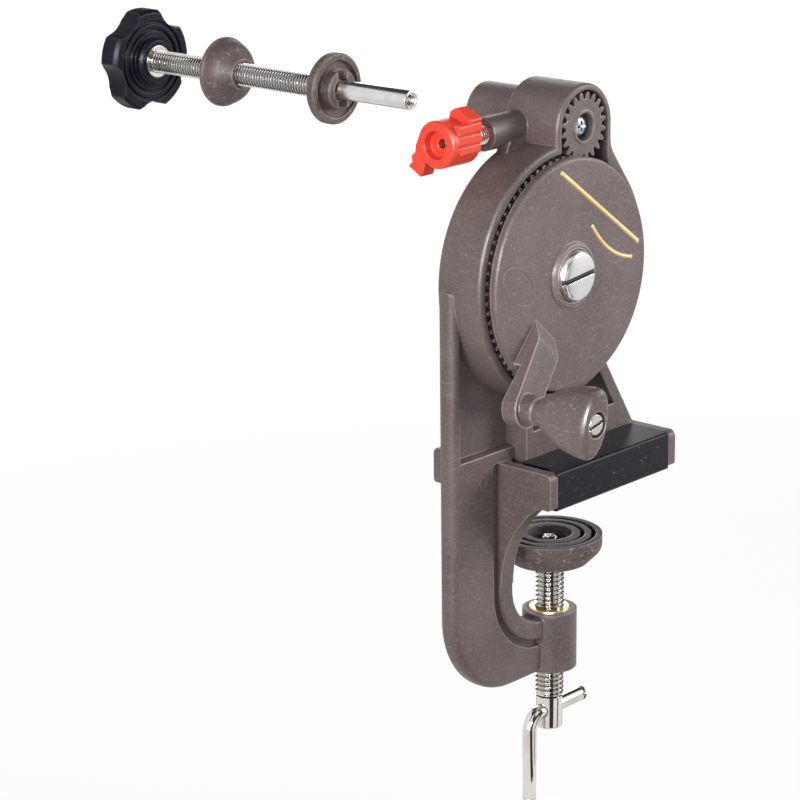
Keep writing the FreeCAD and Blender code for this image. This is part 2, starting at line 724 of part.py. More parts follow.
def makeAxleBolt():
    """Slotted pan-head bolt that the geared disc turns on."""
    body = newBody("wheel_bolt")
    headBackY = "axleHeadSink - hubRingProud"
    endY = "frameBackY + washerThick + nutHeight + axleTail"
    turnDepth(body, [
        ("0", f"{headBackY} - axleHeadThick"), ("axleHeadRadius", f"{headBackY} - axleHeadThick", "1.2"),
        ("axleHeadRadius", headBackY), ("axleRadius", headBackY),
        ("axleRadius", endY), ("0", endY)])
    cutSlot(body, f"{headBackY} - axleHeadThick", "axleHeadRadius", "slotWidth", "slotDepth")
    turnAboutDepth(body, "slotTurn")
    return body


def cutSlot(body, frontY, radius, width, depth):
    """Screwdriver slot right across a head."""
    return cutDepth(body, frontY, f"{frontY} + {depth}", [
        (f"-{radius} - 1", f"-{width} / 2"), (f"{radius} + 1", f"-{width} / 2"),
        (f"{radius} + 1", f"{width} / 2"), (f"-{radius} - 1", f"{width} / 2")])


def addHexagon(sketch, flat):
    """Regular hexagon about the sketch's origin, given across its flats."""
    corners = []
    for side in range(6):
        angle = f"{60 * side}deg"
        corners.append((f"{flat} / sqrt(3) * cos({angle})", f"{flat} / sqrt(3) * sin({angle})"))
    addOutline(sketch, corners)


def makeAxleNut():
    body = newBody("wheel_nut", y="frameBackY + washerThick")
    sketch = depthSketch(body, "nutHeight")
    addHexagon(sketch, "nutFlats")
    addFeature(body, "Pad", sketch, "nutHeight")
    cutDepth(body, "0", "nutHeight", circles=[("0", "0", "axleRadius + seatClearance")])
    return body


def makeAxleWasher():
    body = newBody("wheel_washer", y="frameBackY")
    rings = [("0", "0", "washerRadius"), ("0", "0", "axleRadius + seatClearance")]
    padDepth(body, "washerThick", "0", circles=rings)
    return body


def makeClampInsert():
    """Brass bush with the clamp screw's thread, its lip on the boss."""
    body = newBody("clamp_insert", "clampX", "clampY")
    turnHeight(body, [
        ("clampRadius + runClearance", "legBottomZ"), ("insertRadius", "legBottomZ"),
        ("insertRadius", "bossTopZ + insertLip", "0.4"),
        ("clampRadius + runClearance", "bossTopZ + insertLip")])
    return body


# ---- geared disc with crank and grip ----

def turnAboutDepth(body, angle):
    """Turn a body about its own Y so that its +X points along an angle in X-Z."""
    rotation = FreeCAD.Rotation(FreeCAD.Vector(0, -1, 0), value(angle))
    body.Placement = FreeCAD.Placement(FreeCAD.Vector(), rotation)
    body.setExpression("Placement.Rotation.Angle", bound(f"({angle}) * 1deg"))


def makeWheel():
    """Disc, gear rim, hub and crank arm in one moulding; local +X is the crank."""
    body = newBody("crank_wheel")
    seedBody(body, gearBlank(int(value("wheelTeeth")), "wheelPhase - crankAngle"))
    turnAboutDepth(body, "crankAngle")
    backY = "gearFrontY + gearWidth"
    padDepth(body, "gearFrontY", "0", circles=[("0", "0", "wheelRoot - neckStep")])
    padDepth(body, "discThick", "0", circles=[("0", "0", "discRadius")])
    roundEdges(body, "discEdgeRound",
               lambda edge: onDepth(edge, "0") and isRing(edge, "discRadius"))
    recess = [("0", "0", "wheelRoot - rimWall"), ("0", "0", "hubRadius")]
    cutDepth(body, backY, "discThick + wheelWeb", circles=recess)
    makeCrankArm(body)
    front = "-hubRingProud"
    padDepth(body, "discThick", front, circles=[("0", "0", "hubRingRadius")])
    roundEdges(body, "hubRingBevel",
               lambda edge: onDepth(edge, front) and isRing(edge, "hubRingRadius"), "Chamfer")
    cutDepth(body, front, "axleHeadSink - hubRingProud", circles=[("0", "0", "axleHeadRadius + gap")])
    cutDepth(body, "-hubRingProud", backY, circles=[("0", "0", "axleRadius + runClearance")])
    return body


def makeCrankArm(body):
    """Arm that rises from the disc out to the grip's collar."""
    tipX = "crankReach + crankEndRadius"
    padDepth(body, "crankBackY", "-crankTipRise - 1", [
        ("crankStart", "-crankRootWidth / 2"), (tipX, "-crankEndRadius", "crankEndRadius * 0.99"),
        (tipX, "crankEndRadius", "crankEndRadius * 0.99"), ("crankStart", "crankRootWidth / 2")])
    padDepth(body, "discThick / 2", "crankBackY", [
        ("crankStart", "-crankRootWidth / 2"), ("discRadius - 1", "-crankEndRadius"),
        ("discRadius - 1", "crankEndRadius"), ("crankStart", "crankRootWidth / 2")])
    front = newSketch(body, "XY_Plane")
    addOutline(front, [
        ("crankStart - 1", "-0.001"), ("crankStart", "-0.001"), ("crankRiseX", "-crankRise", "crankBend"),
        (f"{tipX} + 1", "-crankTipRise"), (f"{tipX} + 1", "-crankTipRise - 2"),
        ("crankStart - 1", "-crankTipRise - 2")])
    cut = addFeature(body, "Pocket", front, "crankRootWidth * 2")
    cut.Midplane = True
    padDepth(body, "crankBackY - 1", "collarY", circles=[("crankReach", "0", "collarRadius")])
    roundEdges(body, "collarBevel", lambda edge: onDepth(edge, "collarY"), "Chamfer")
    cutDepth(body, "collarY", "crankBackY", circles=[("crankReach", "0", "gripScrewRadius + seatClearance")])


def makeGripScrew():
    """Shoulder screw: the grip turns on it, its end is fast in the crank."""
    body = newBody("grip_screw", crankX, gripEndY, crankZ)
    headY = "gripRecessDepth - gripHeadThick"
    endY = f"crankBackY - 0.6 - ({gripEndY})"
    underHead = f"{headY} + gripHeadThick - gap / 2"
    turnDepth(body, [
        ("0", headY), ("gripHeadRadius - 0.5", headY), ("gripHeadRadius", f"{headY} + 0.5"),
        ("gripHeadRadius", underHead), ("gripScrewRadius", underHead), ("gripScrewRadius", endY), ("0", endY)])
    cutSlot(body, headY, "gripHeadRadius", "gripSlotWidth", "gripSlotDepth")
    turnAboutDepth(body, "gripScrewTurn")
    return body


def makeGrip():
    """Flattened pear that turns on its screw."""
    body = newBody("crank_grip", crankX, gripBaseY, crankZ)
    sections = [
        ("0", "gripNeckRadius", "gripNeckRadius"),
        ("-gripNeckLength", "gripNeckThin", "gripNeckWide"),
        ("-gripSwellAt", "gripSwellThin", "gripSwellWide"),
        ("-gripBellyAt", "gripThin", "gripBellyWide"),
        ("-gripFullAt", "gripThin", "gripWide"),
        ("-gripLength", "gripEndThin", "gripEndWide")]
    sketches = []
    for depth, thin, wide in sections:
        sketch = depthSketch(body, depth)
        addOval(sketch, thin, wide)
        sketches.append(sketch)
    loft = body.newObject("PartDesign::AdditiveLoft", "gripLoft")
    loft.Profile = sketches[0]
    loft.Sections = sketches[1:]
    roundEdges(body, "gripEndRound", lambda edge: onDepth(edge, "-gripLength"))
    cutDepth(body, "-gripLength", "0", circles=[("0", "0", "gripScrewRadius + runClearance")])
    cutDepth(body, "-gripLength", "gripRecessDepth - gripLength", circles=[("0", "0", "gripRecessRadius")])
    turnAboutDepth(body, "gripTurn")
    return body


def addOval(sketch, thin, wide):
    """Closed smooth oval: half width thin along X, wide along Z."""
    centre = FreeCAD.Vector()
    if abs(value(wide) - value(thin)) < 1e-6:
        addCircle(sketch, "0", "0", thin)
        return
    tall = FreeCAD.Vector(0, value(wide), 0)
    flat = FreeCAD.Vector(-value(thin), 0, 0)
    sketch.addGeometry(Part.Ellipse(tall, flat, centre), False)


# ---- pinion and spindle ----

def makePinion():
    """Pinion with its sleeve; two dogs on the sleeve's end drive the spindle."""
    body = newBody("spindle_pinion", pinionX, "0", pinionZ)
    seedBody(body, gearBlank(int(value("pinionTeeth")), pinionPhase))
    backY = "gearFrontY + gearWidth"
    endY = f"{sleeveEndY} + dogLength"
    padDepth(body, sleeveEndY, backY, circles=[("0", "0", "sleeveRadius")])
    padDepth(body, "gearFrontY + 1", "gearFrontY - 0.3", circles=[("0", "0", "pinionRing")])
    padDepth(body, endY, f"{sleeveEndY} - 1", [
        ("-dogWidth / 2", "-dogReach"), ("dogWidth / 2", "-dogReach"),
        ("dogWidth / 2", "dogReach"), ("-dogWidth / 2", "dogReach")])
    cutDepth(body, "0", "pinionWebY", circles=[("0", "0", "pinionEye")])
    cutDepth(body, "pinionWebY", endY, circles=[("0", "0", "screwRadius + seatClearance")])
    cutDepth(body, "sleeveStartY", endY, circles=[("0", "0", "plainRadius + runClearance")])
    return body


def makePinionScrew():
    """Cross-head screw through the pinion's web; it holds the spindle's end."""
    body = newBody("pinion_screw", pinionX, "pinionWebY", pinionZ)
    turnDepth(body, [
        ("0", "-screwHeadThick"), ("screwHeadRadius", "-screwHeadThick", "1"), ("screwHeadRadius", "0"),
        ("screwRadius", "0"), ("screwRadius", "screwLength"), ("0", "screwLength")])
    for width, height in (("screwHeadRadius", "crossWidth"), ("crossWidth", "screwHeadRadius")):
        cutDepth(body, "-screwHeadThick", "crossDepth - screwHeadThick", [
            (f"-{width} / 2", f"-{height} / 2"), (f"{width} / 2", f"-{height} / 2"),
            (f"{width} / 2", f"{height} / 2"), (f"-{width} / 2", f"{height} / 2")])
    return body


def makeSpindleRod():
    """Long threaded rod with a plain, tapped end; local origin at the flange."""
    body = newBody("spindle_rod", pinionX, flangeY, pinionZ)
    turnDepth(body, [
        ("screwRadius + runClearance", "-plainLength"), ("plainRadius - 0.4", "-plainLength"),
        ("plainRadius", "0.4 - plainLength"),
        ("plainRadius", "flangeSeat"), ("rodRadius", "flangeSeat"), ("rodRadius", "rodLength - rodBevel"),
        ("rodRadius - rodBevel", "rodLength"), ("0", "rodLength"),
        ("0", "tapDepth - plainLength"), ("screwRadius + runClearance", "tapDepth - plainLength")])
    return body


def makeSpoolFlange():
    """Dished flange fast on the rod; its slotted hub takes the sleeve's dogs."""
    body = newBody("spool_flange", pinionX, flangeY, pinionZ)
    bore = "rodRadius + seatClearance"
    dish = "flangeHubLength - flangeDish"
    back = "flangeHubLength + flangeThick"
    turnDepth(body, [
        (bore, "-gap"), ("flangeHub - 0.4", "-gap"), ("flangeHub", "0.4 - gap"),
        ("flangeHub", "flangeHubLength"),
        ("flangeRadius - flangeRim", "flangeHubLength"), ("flangeRadius - flangeRim", dish),
        ("flangeRadius - 0.5", dish), ("flangeRadius", f"{dish} + 0.5"), ("flangeRadius", f"{back} - 1"),
        ("flangeRadius - 0.8", back), (bore, back)])
    cutDepth(body, "-gap", "dogLength", [
        ("-dogWidth / 2 - gap", "-flangeHub - 1"), ("dogWidth / 2 + gap", "-flangeHub - 1"),
        ("dogWidth / 2 + gap", "flangeHub + 1"), ("-dogWidth / 2 - gap", "flangeHub + 1")])
    return body


def makeSpoolCone():
    """Hollow cone that centres the spool; its nose points to the flange."""
    body = newBody("spool_cone", pinionX, "coneY", pinionZ)
    bore = "rodRadius + gap"
    nose = f"{bore} + coneNoseWall"
    band = "coneHeight - coneBand"
    turnDepth(body, [
        (bore, "-coneNoseLip"), (nose, "-coneNoseLip"), (nose, "0"), ("coneBelly", "coneBellyAt", "7"),
        ("coneRadius - 0.4", band), ("coneRadius", f"{band} + 0.4"), ("coneRadius", "coneHeight"),
        ("coneRadius - coneWall", "coneHeight"),
        ("coneBelly - coneWall", "coneBellyAt + coneWall * 0.8", "5"),
        (f"{nose} + 1", "coneWall + 0.6"), (f"{nose} + 1", "coneHeight"), (bore, "coneHeight")])
    return body


def makeKnobNut():
    """Steel threaded insert that travels along the rod."""
    body = newBody("knob_insert", pinionX, "knobY", pinionZ)
    rings = [("0", "0", "rodRadius + nutWall"), ("0", "0", "rodRadius + runClearance")]
    padDepth(body, "nutLength", "0", circles=rings)
    return body


def makeStarKnob():
    """Black hand knob, its rim scalloped between the lobes."""
    body = newBody("star_knob", pinionX, "knobY", pinionZ)
    turnDepth(body, [
        ("0", "0"), ("knobHub - 1", "0"), ("knobHub", "1"), ("knobHub", "knobHubProud"),
        ("knobRadius - knobEdge", "knobHubProud"), ("knobRadius", "knobHubProud + knobEdge"),
        ("knobRadius", "knobHubProud + knobThick - knobEdge * 1.5"),
        ("knobRadius - knobEdge * 2", "knobHubProud + knobThick"), ("0", "knobHubProud + knobThick")])
    lobes = int(value("knobLobes"))
    sketch = depthSketch(body, "-1")
    for lobe in range(lobes):
        turnText = f"({360 * lobe} / knobLobes + knobPhase) * 1deg"
        reach = "(knobRadius + knobScallopOut)"
        addCircle(sketch, f"{reach} * cos({turnText})", f"{reach} * sin({turnText})", "knobScallop")
    addFeature(body, "Pocket", sketch, "knobHubProud + knobThick + 2")
    for ring in range(2):
        inner = f"knobRingStart + {ring} * knobRingWidth * 2"
        cutDepth(body, "knobHubProud", "knobHubProud + knobRingDepth",
                 circles=[("0", "0", inner), ("0", "0", f"{inner} + knobRingWidth")])
    cutDepth(body, "-1", "nutLength", circles=[("0", "0", "rodRadius + nutWall + runClearance")])
    cutDepth(body, "0", "knobHubProud + knobThick", circles=[("0", "0", "rodRadius + gap")])
    return body


# ---- brake on the pinion's sleeve ----

def makeBrakeShoe():
    """Pad that the brake screw presses on the sleeve."""
    body = newBody("brake_shoe", f"{pinionX} - sleeveRadius - gap * 2", "brakeY", pinionZ)
    turnAcross(body, [
        ("-brakeShoeLength", "0"), ("-brakeShoeLength", "brakeShoeRadius"),
        ("0", "brakeShoeRadius"), ("0", "0")])
    return body


def makeBrakeScrew():
    body = newBody("brake_screw", "brakeTubeEndX", "brakeY", pinionZ)
    endX = f"({shoeBackX}) - brakeTubeEndX"
    turnAcross(body, [
        ("-brakeKnobGap - brakeScrewHold", "0"), ("-brakeKnobGap - brakeScrewHold", "brakeScrewRadius"),
        (endX, "brakeScrewRadius"), (endX, "0")])
    return body


def addAcross(body, leftX, length, corners):
    """Pad a Y-Z outline to the right from leftX."""
    sketch = newSketch(body, "YZ_Plane", leftX)
    addOutline(sketch, corners)
    return addFeature(body, "Pad", sketch, length)


def makeBrakeKnob():
    """Red knob with an eye in its face and two serrated wings, one at each end."""
    body = newBody("brake_knob", "brakeTubeEndX - brakeKnobGap", "brakeY", pinionZ)
    face = "-brakeKnobLength"
    radius = "brakeKnobRadius"
    turnAcross(body, [
        (face, "0"), (face, f"{radius} - brakeKnobRound"), (f"{face} + brakeKnobRound", radius),
        ("-brakeKnobRound", radius), ("0", f"{radius} - brakeKnobRound"), ("0", "0")])
    # flat and upper wing on the tube's side
    addAcross(body, "-brakeFlatLength", "brakeFlatLength - brakeKnobRound", [
        (f"-{radius}", f"-{radius} * 0.4"), (f"-{radius}", f"{radius} * 0.85", "0.8"),
        (f"-{radius} * 0.5", f"{radius} * 0.85"), ("0", "0")])
    addAcross(body, "-brakeWingWidth", "brakeWingWidth", [
        (f"-{radius}", "0"), (f"-{radius}", f"{radius}", "0.8"),
        (f"-{radius} * 0.17", f"{radius} * 1.42", "0.8"), (f"{radius} * 0.1", f"{radius} * 1.25", "0.6"),
        (f"{radius} * 0.25", f"{radius} * 0.7"), ("0", "0")])
    for groove in (-0.12, 0.88, 1.88):
        middle = f"brakeGrooveStep * {groove}"
        sketch = newSketch(body, "YZ_Plane", "-brakeFlatLength - 1")
        addOutline(sketch, [
            (f"-{radius} - 1", f"{middle} - brakeGrooveWidth / 2"), (f"brakeGrooveDepth - {radius}", middle),
            (f"-{radius} - 1", f"{middle} + brakeGrooveWidth / 2 + 1")])
        feature = addFeature(body, "Pocket", sketch, "brakeFlatLength + 2")
        feature.Reversed = True
    # stepped lower wing on the face's side
    addAcross(body, face, "brakeWingWidth", [
        (f"{radius} * 0.9", f"{radius} * 0.3"), (f"{radius} * 1.02", "0"),
        (f"{radius} * 1.07", f"-{radius} * 0.07"), (f"{radius} * 1.12", f"-{radius} * 0.42"),
        (f"{radius} * 1.32", f"-{radius} * 0.58"), (f"{radius} * 1.28", f"-{radius} * 0.85"),
        (f"{radius} * 1.49", f"-{radius} * 1.03", "0.4"), (f"{radius} * 0.78", f"-{radius} * 1.45", "0.6"),
        (f"{radius} * 0.55", f"-{radius} * 0.8"), ("0", "0")])
    cutAcross(body, face, "brakeEyeDepth", "brakeKnobEye")
    cutAcross(body, face, "brakeKnobLength", "brakeEyeHole")
    cutAcross(body, "-brakeScrewHold", "brakeScrewHold", "brakeScrewRadius + seatClearance")
    return body


def cutAcross(body, leftX, length, radius):
    """Round hole along X from a face at leftX."""
    sketch = newSketch(body, "YZ_Plane", leftX)
    addCircle(sketch, "0", "0", radius)
    feature = addFeature(body, "Pocket", sketch, length)
    feature.Reversed = True
    return feature


# ---- clamp ----

def makeClampPad():
    """Swivel pad with ribbed rings and a cup round the screw's riveted tip."""
    body = newBody("clamp_pad", "clampX", "clampY", "padTopZ")
    ring = "padRingWidth"
    step = "(padRingWidth + padGrooveWidth)"
    bore = "clampTip + runClearance"
    turnHeight(body, [
        (bore, "-padHeight"), ("padRadius - padRound", "-padHeight"),
        ("padRadius", "padRound - padHeight", "padRound * 0.9"), ("padRadius", "0"),
        (f"padRadius - {ring}", "0"), (f"padRadius - {ring}", "-padGrooveDepth"),
        (f"padRadius - {step}", "-padGrooveDepth"), (f"padRadius - {step}", "0"),
        (f"padRadius - {step} - {ring}", "0"), (f"padRadius - {step} - {ring}", "-padGrooveDepth"),
        (f"padRadius - {step} * 2", "-padGrooveDepth"), (f"padRadius - {step} * 2", "0"),
        ("padCup", "0"), ("padCup", "padFloor - padHeight"), (bore, "padFloor - padHeight")])
    return body


def makeClampScrew():
    """Threaded spindle: a riveted tip through the pad, a cross hole below."""
    body = newBody("clamp_screw", "clampX", "clampY", "padTopZ")
    seat = "-padHeight - gap"
    rivet = "padFloor - padHeight + gap"
    end = "clampEndZ - padTopZ"
    turnHeight(body, [
        ("0", f"{rivet} + rivetHeight"), ("clampTip", f"{rivet} + rivetHeight"),
        ("clampTip + rivetProud", f"{rivet} + rivetHeight / 2"), ("clampTip + rivetProud", rivet),
        ("clampTip", rivet), ("clampTip", seat), ("clampRadius", seat),
        ("clampRadius", f"{end} + clampFootLength"),
        ("clampFootRadius", f"{end} + clampFootLength"), ("clampFootRadius", f"{end} + 0.8"),
        ("clampFootRadius - 0.8", end), ("0", end)])
    sketch = newSketch(body, "YZ_Plane", "-clampRadius - 1")
    addCircle(sketch, "0", f"{end} + barUpZ", "barRadius + runClearance")
    feature = addFeature(body, "Pocket", sketch, "clampRadius * 2 + 2")
    feature.Reversed = True
    return body


def makeTommyBar():
    """Bent rod through the screw's cross hole; its long end hangs down."""
    body = newBody("tommy_bar", "clampX", "clampY", "clampEndZ + barUpZ")
    path = newSketch(body, "XZ_Plane")
    right = FreeCAD.Vector(value("barRight"), 0, 0)
    turnStart = FreeCAD.Vector(-value("barLeft") + value("barBend"), 0, 0)
    turnEnd = FreeCAD.Vector(-value("barLeft"), -value("barBend"), 0)
    middle = FreeCAD.Vector(-value("barLeft") + value("barBend") * (1 - math.sqrt(0.5)),
                            -value("barBend") * (1 - math.sqrt(0.5)), 0)
    foot = FreeCAD.Vector(-value("barLeft"), -value("barDrop"), 0)
    path.addGeometry([
        Part.LineSegment(right, turnStart), Part.Arc(turnStart, middle, turnEnd),
        Part.LineSegment(turnEnd, foot)], False)
    section = newSketch(body, "YZ_Plane", "barRight")
    addCircle(section, "0", "0", "barRadius")
    pipe = body.newObject("PartDesign::AdditivePipe", "tommyBarPipe")
    pipe.Profile = section
    pipe.Spine = path
    return body


axisAngle = "90 - pinionLean"
wheelLag = f"mod(wheelPhase - ({axisAngle}); 360 / wheelTeeth)"
pinionPhase = f"{axisAngle} + 180 - ({wheelLag}) * wheelTeeth / pinionTeeth + 180 / pinionTeeth"
shoeBackX = f"{pinionX} - sleeveRadius - gap * 2 - brakeShoeLength"

pieces = [
    makeMainFrame(), makeJawRubber(), makeAxleBolt(), makeAxleNut(), makeAxleWasher(), makeClampInsert(),
    makeWheel(), makeGripScrew(), makeGrip(),
    makePinion(), makePinionScrew(), makeSpindleRod(), makeSpoolFlange(), makeSpoolCone(),
    makeKnobNut(), makeStarKnob(),
    makeBrakeShoe(), makeBrakeScrew(), makeBrakeKnob(),
    makeClampPad(), makeClampScrew(), makeTommyBar(),
]
doc.recompute()

for item in doc.Objects:
    if "Invalid" in item.State or "Error" in item.State:
        raise RuntimeError(f"{item.Name} failed: {item.State}")
os.makedirs("parts", exist_ok=True)
for piece in pieces:
    shape = piece.Shape
    if shape.isNull() or not shape.isValid() or len(shape.Solids) != 1:
        raise RuntimeError(f"{piece.Label} is not one sound solid")
    shape.exportStep(f"parts/{piece.Label}.step")
    print(piece.Label, round(shape.Volume, 1))
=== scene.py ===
import json
import math

import bmesh
import bpy
from mathutils import Matrix, Vector


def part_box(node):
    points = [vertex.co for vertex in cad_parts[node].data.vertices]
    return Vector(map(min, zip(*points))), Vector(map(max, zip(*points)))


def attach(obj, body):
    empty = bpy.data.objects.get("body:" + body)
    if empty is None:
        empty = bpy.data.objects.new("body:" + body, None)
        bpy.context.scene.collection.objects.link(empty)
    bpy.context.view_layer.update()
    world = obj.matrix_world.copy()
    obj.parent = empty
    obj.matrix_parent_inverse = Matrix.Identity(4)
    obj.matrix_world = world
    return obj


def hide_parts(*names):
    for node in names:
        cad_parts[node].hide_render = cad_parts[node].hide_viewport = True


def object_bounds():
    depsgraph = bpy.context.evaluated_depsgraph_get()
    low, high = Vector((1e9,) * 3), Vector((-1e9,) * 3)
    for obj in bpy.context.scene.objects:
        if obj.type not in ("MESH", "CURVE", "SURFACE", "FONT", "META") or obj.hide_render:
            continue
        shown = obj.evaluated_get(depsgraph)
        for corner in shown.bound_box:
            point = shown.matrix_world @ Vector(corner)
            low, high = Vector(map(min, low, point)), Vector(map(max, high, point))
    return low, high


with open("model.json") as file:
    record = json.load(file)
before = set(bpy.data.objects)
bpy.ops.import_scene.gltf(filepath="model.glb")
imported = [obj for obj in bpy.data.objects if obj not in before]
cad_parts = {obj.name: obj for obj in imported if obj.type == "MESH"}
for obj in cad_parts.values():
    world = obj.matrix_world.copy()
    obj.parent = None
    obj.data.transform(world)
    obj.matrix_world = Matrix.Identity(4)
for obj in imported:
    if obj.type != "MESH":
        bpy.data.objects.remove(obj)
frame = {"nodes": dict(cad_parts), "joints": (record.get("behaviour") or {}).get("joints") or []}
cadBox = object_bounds()
nodes = frame["nodes"]
pivots = {joint["name"]: Vector(joint["pos_m"]) for joint in frame["joints"] if "pos_m" in joint}
print("frame loaded with", len(nodes), "nodes")

mm = 0.001
white = (1, 1, 1, 1)


class Wire:  # one socket that takes part in sums
    def __init__(self, graph, socket):
        self.graph = graph
        self.socket = socket

    def reckon(self, operation, *others):
        return self.graph.add("ShaderNodeMath", {"operation": operation}, (self, *others))

    def reckonAfter(self, operation, other):  # the same with the other term first
        return self.graph.add("ShaderNodeMath", {"operation": operation}, (other, self))

    def out(self, name):  # another output of the same node
        return Wire(self.graph, self.socket.node.outputs[name])

    def __add__(self, other):
        return self.reckon("ADD", other)

    def __radd__(self, other):
        return self.reckonAfter("ADD", other)

    def __sub__(self, other):
        return self.reckon("SUBTRACT", other)

    def __rsub__(self, other):
        return self.reckonAfter("SUBTRACT", other)

    def __mul__(self, other):
        return self.reckon("MULTIPLY", other)

    def __rmul__(self, other):
        return self.reckonAfter("MULTIPLY", other)

    def __truediv__(self, other):
        return self.reckon("DIVIDE", other)

    def __rtruediv__(self, other):
        return self.reckonAfter("DIVIDE", other)

    def __abs__(self):
        return self.reckon("ABSOLUTE")

    def __gt__(self, other):
        return self.reckon("GREATER_THAN", other)

    def __lt__(self, other):
        return self.reckon("LESS_THAN", other)

    def least(self, other):
        return self.reckon("MINIMUM", other)

    def clamp(self, low=0.0, high=1.0):
        return self.reckon("MAXIMUM", low).least(high)


class Graph:  # adds nodes to one node tree
    def __init__(self, tree):
        self.tree = tree

    def add(self, kind, settings=None, sockets=None, out=0):
        node = self.tree.nodes.new(kind)
        for name, setting in (settings or {}).items():
            setattr(node, name, setting)
        pairs = sockets.items() if isinstance(sockets, dict) else enumerate(sockets or ())
        for key, item in pairs:
            self.feed(item, node.inputs[key])
        return Wire(self, node.outputs[out]) if len(node.outputs) else node

    def feed(self, item, socket):
        if isinstance(item, Wire):
            self.tree.links.new(item.socket, socket)
        else:
            socket.default_value = item

    def noise(self, where, scale, detail=2.0, rough=0.5):
        sockets = {"Vector": where, "Scale": scale, "Detail": detail, "Roughness": rough}
        return self.add("ShaderNodeTexNoise", None, sockets)

    def mix(self, share, first, second):  # colours only
        return self.add("ShaderNodeMix", {"data_type": "RGBA"}, {0: share, 6: first, 7: second}, 2)

    def step(self, item, span):  # 0 below the span, 1 above it, smooth between
        sockets = {"Value": item, "From Min": span[0], "From Max": span[1]}
        return self.add("ShaderNodeMapRange", {"interpolation_type": "SMOOTHSTEP"}, sockets)

    def stretch(self, where, scale):  # pattern squeezed or drawn out along the axes
        return self.add("ShaderNodeMapping", None, {"Vector": where, "Scale": scale})


def tint(red, green, blue):  # colour as a screen shows it, 0 to 255
    parts = []
    for part in (red, green, blue):
        share = part / 255
        parts.append(share / 12.92 if share < 0.04045 else ((share + 0.055) / 1.055) ** 2.4)
    return (*parts, 1.0)


def spin(degrees, axis):
    return Matrix.Rotation(math.radians(degrees), 4, axis)


def startMaterial(name):
    material = bpy.data.materials.new(name)
    material.use_nodes = True
    material.node_tree.nodes.clear()
    graph = Graph(material.node_tree)
    where = graph.add("ShaderNodeTexCoord", None, None, "Object")
    return material, graph, where


def roundedNormal(graph, look):
    return graph.add("ShaderNodeBevel", {"samples": 6}, {"Radius": look["edgeRadius"]})


def edgeShare(graph, look, rounded):
    # 1 on the edges, 0 on flats: where a highlight is painted and the surface is smoother
    flat = graph.add("ShaderNodeNewGeometry", None, None, "Normal")
    facing = graph.add("ShaderNodeVectorMath", {"operation": "DOT_PRODUCT"}, [rounded, flat], "Value")
    return graph.step(1 - facing, look["edgeSpan"])


def paintedCreviceShade(graph, look):
    # painted shade: 1 in narrow slots and corners, 0 in the open
    settings = {"samples": 8, "only_local": True}
    room = graph.add("ShaderNodeAmbientOcclusion", settings, {"Distance": look["creviceShadeReach"]}, "AO")
    return 1 - graph.step(room, look["creviceShadeSpan"])


def finishMaterial(material, graph, sockets):
    shader = graph.add("ShaderNodeBsdfPrincipled", None, sockets)
    graph.add("ShaderNodeOutputMaterial", None, {"Surface": shader})
    return material


def mouldedPlastic(name, look):
    # spark-eroded moulding: fine grain, soft clouds, dust specks and scuffs; darker up-facing faces; painted
    # highlight on edges and painted shade in crevices
    material, graph, where = startMaterial(name)
    grain = graph.noise(where, look["grainScale"], detail=3.0, rough=0.6)
    fine = graph.noise(where, look["grainScale"] * look["fineRatio"], detail=1.0)
    cloud = graph.noise(where, look["cloudScale"], detail=3.0)
    colour = graph.mix(graph.step(cloud, look["cloudSpan"]), look["dark"], look["light"])
    mottle = graph.step(grain, look["mottleSpan"]) * look["mottle"]
    colour = graph.mix(mottle, colour, look["fleck"])
    dust = graph.add("ShaderNodeTexVoronoi", {"feature": "F1"}, {"Vector": where, "Scale": look["dustScale"]})
    patch = graph.noise(where, look["dustScale"] * look["patchRatio"], detail=1.0)
    speck = 1 - graph.step(dust, (look["dustSize"] / 2, look["dustSize"]))
    speck = speck * graph.step(patch, look["patchSpan"])
    colour = graph.mix(speck * look["dust"], colour, look["dustColour"])
    rub = graph.noise(graph.stretch(where, look["rub"]), 1.0, detail=5.0, rough=0.7)
    colour = graph.mix(graph.step(rub, look["rubSpan"]) * look["scuff"], colour, look["dustColour"])
    facing = graph.add("ShaderNodeTexCoord", None, None, "Normal")
    upward = graph.step(graph.add("ShaderNodeSeparateXYZ", None, [facing], "Z"), look["upwardSpan"])
    # darker on up-facing faces
    colour = graph.mix(upward * look["topDarkening"], colour, look["topDarkColour"])
    rounded = roundedNormal(graph, look)
    creviceShade = paintedCreviceShade(graph, look)
    edge = edgeShare(graph, look, rounded) * (1 - creviceShade)
    # painted highlight: lighter colour along convex edges
    colour = graph.mix(edge * look["edgeHighlight"], colour, look["edgeHighlightColour"])
    # painted shade: darker colour in slots, corners and creases
    colour = graph.mix(creviceShade * look["creviceShade"], colour, look["creviceShadeColour"])
    bump = graph.add("ShaderNodeBump", None, {
        "Strength": look["bump"], "Distance": look["grainDepth"], "Normal": rounded,
        "Height": grain * look["grainShare"] + fine * (1 - look["grainShare"])})
    rough = look["rough"] + (grain - 0.5) * look["roughSwing"] + (cloud - 0.5) * look["cloudRough"]
    rough = rough - edge * look["edgePolish"]
    return finishMaterial(material, graph, {
        "Base Color": colour, "Roughness": rough.clamp(0.05), "Normal": bump,
        "Specular IOR Level": look["shine"]})


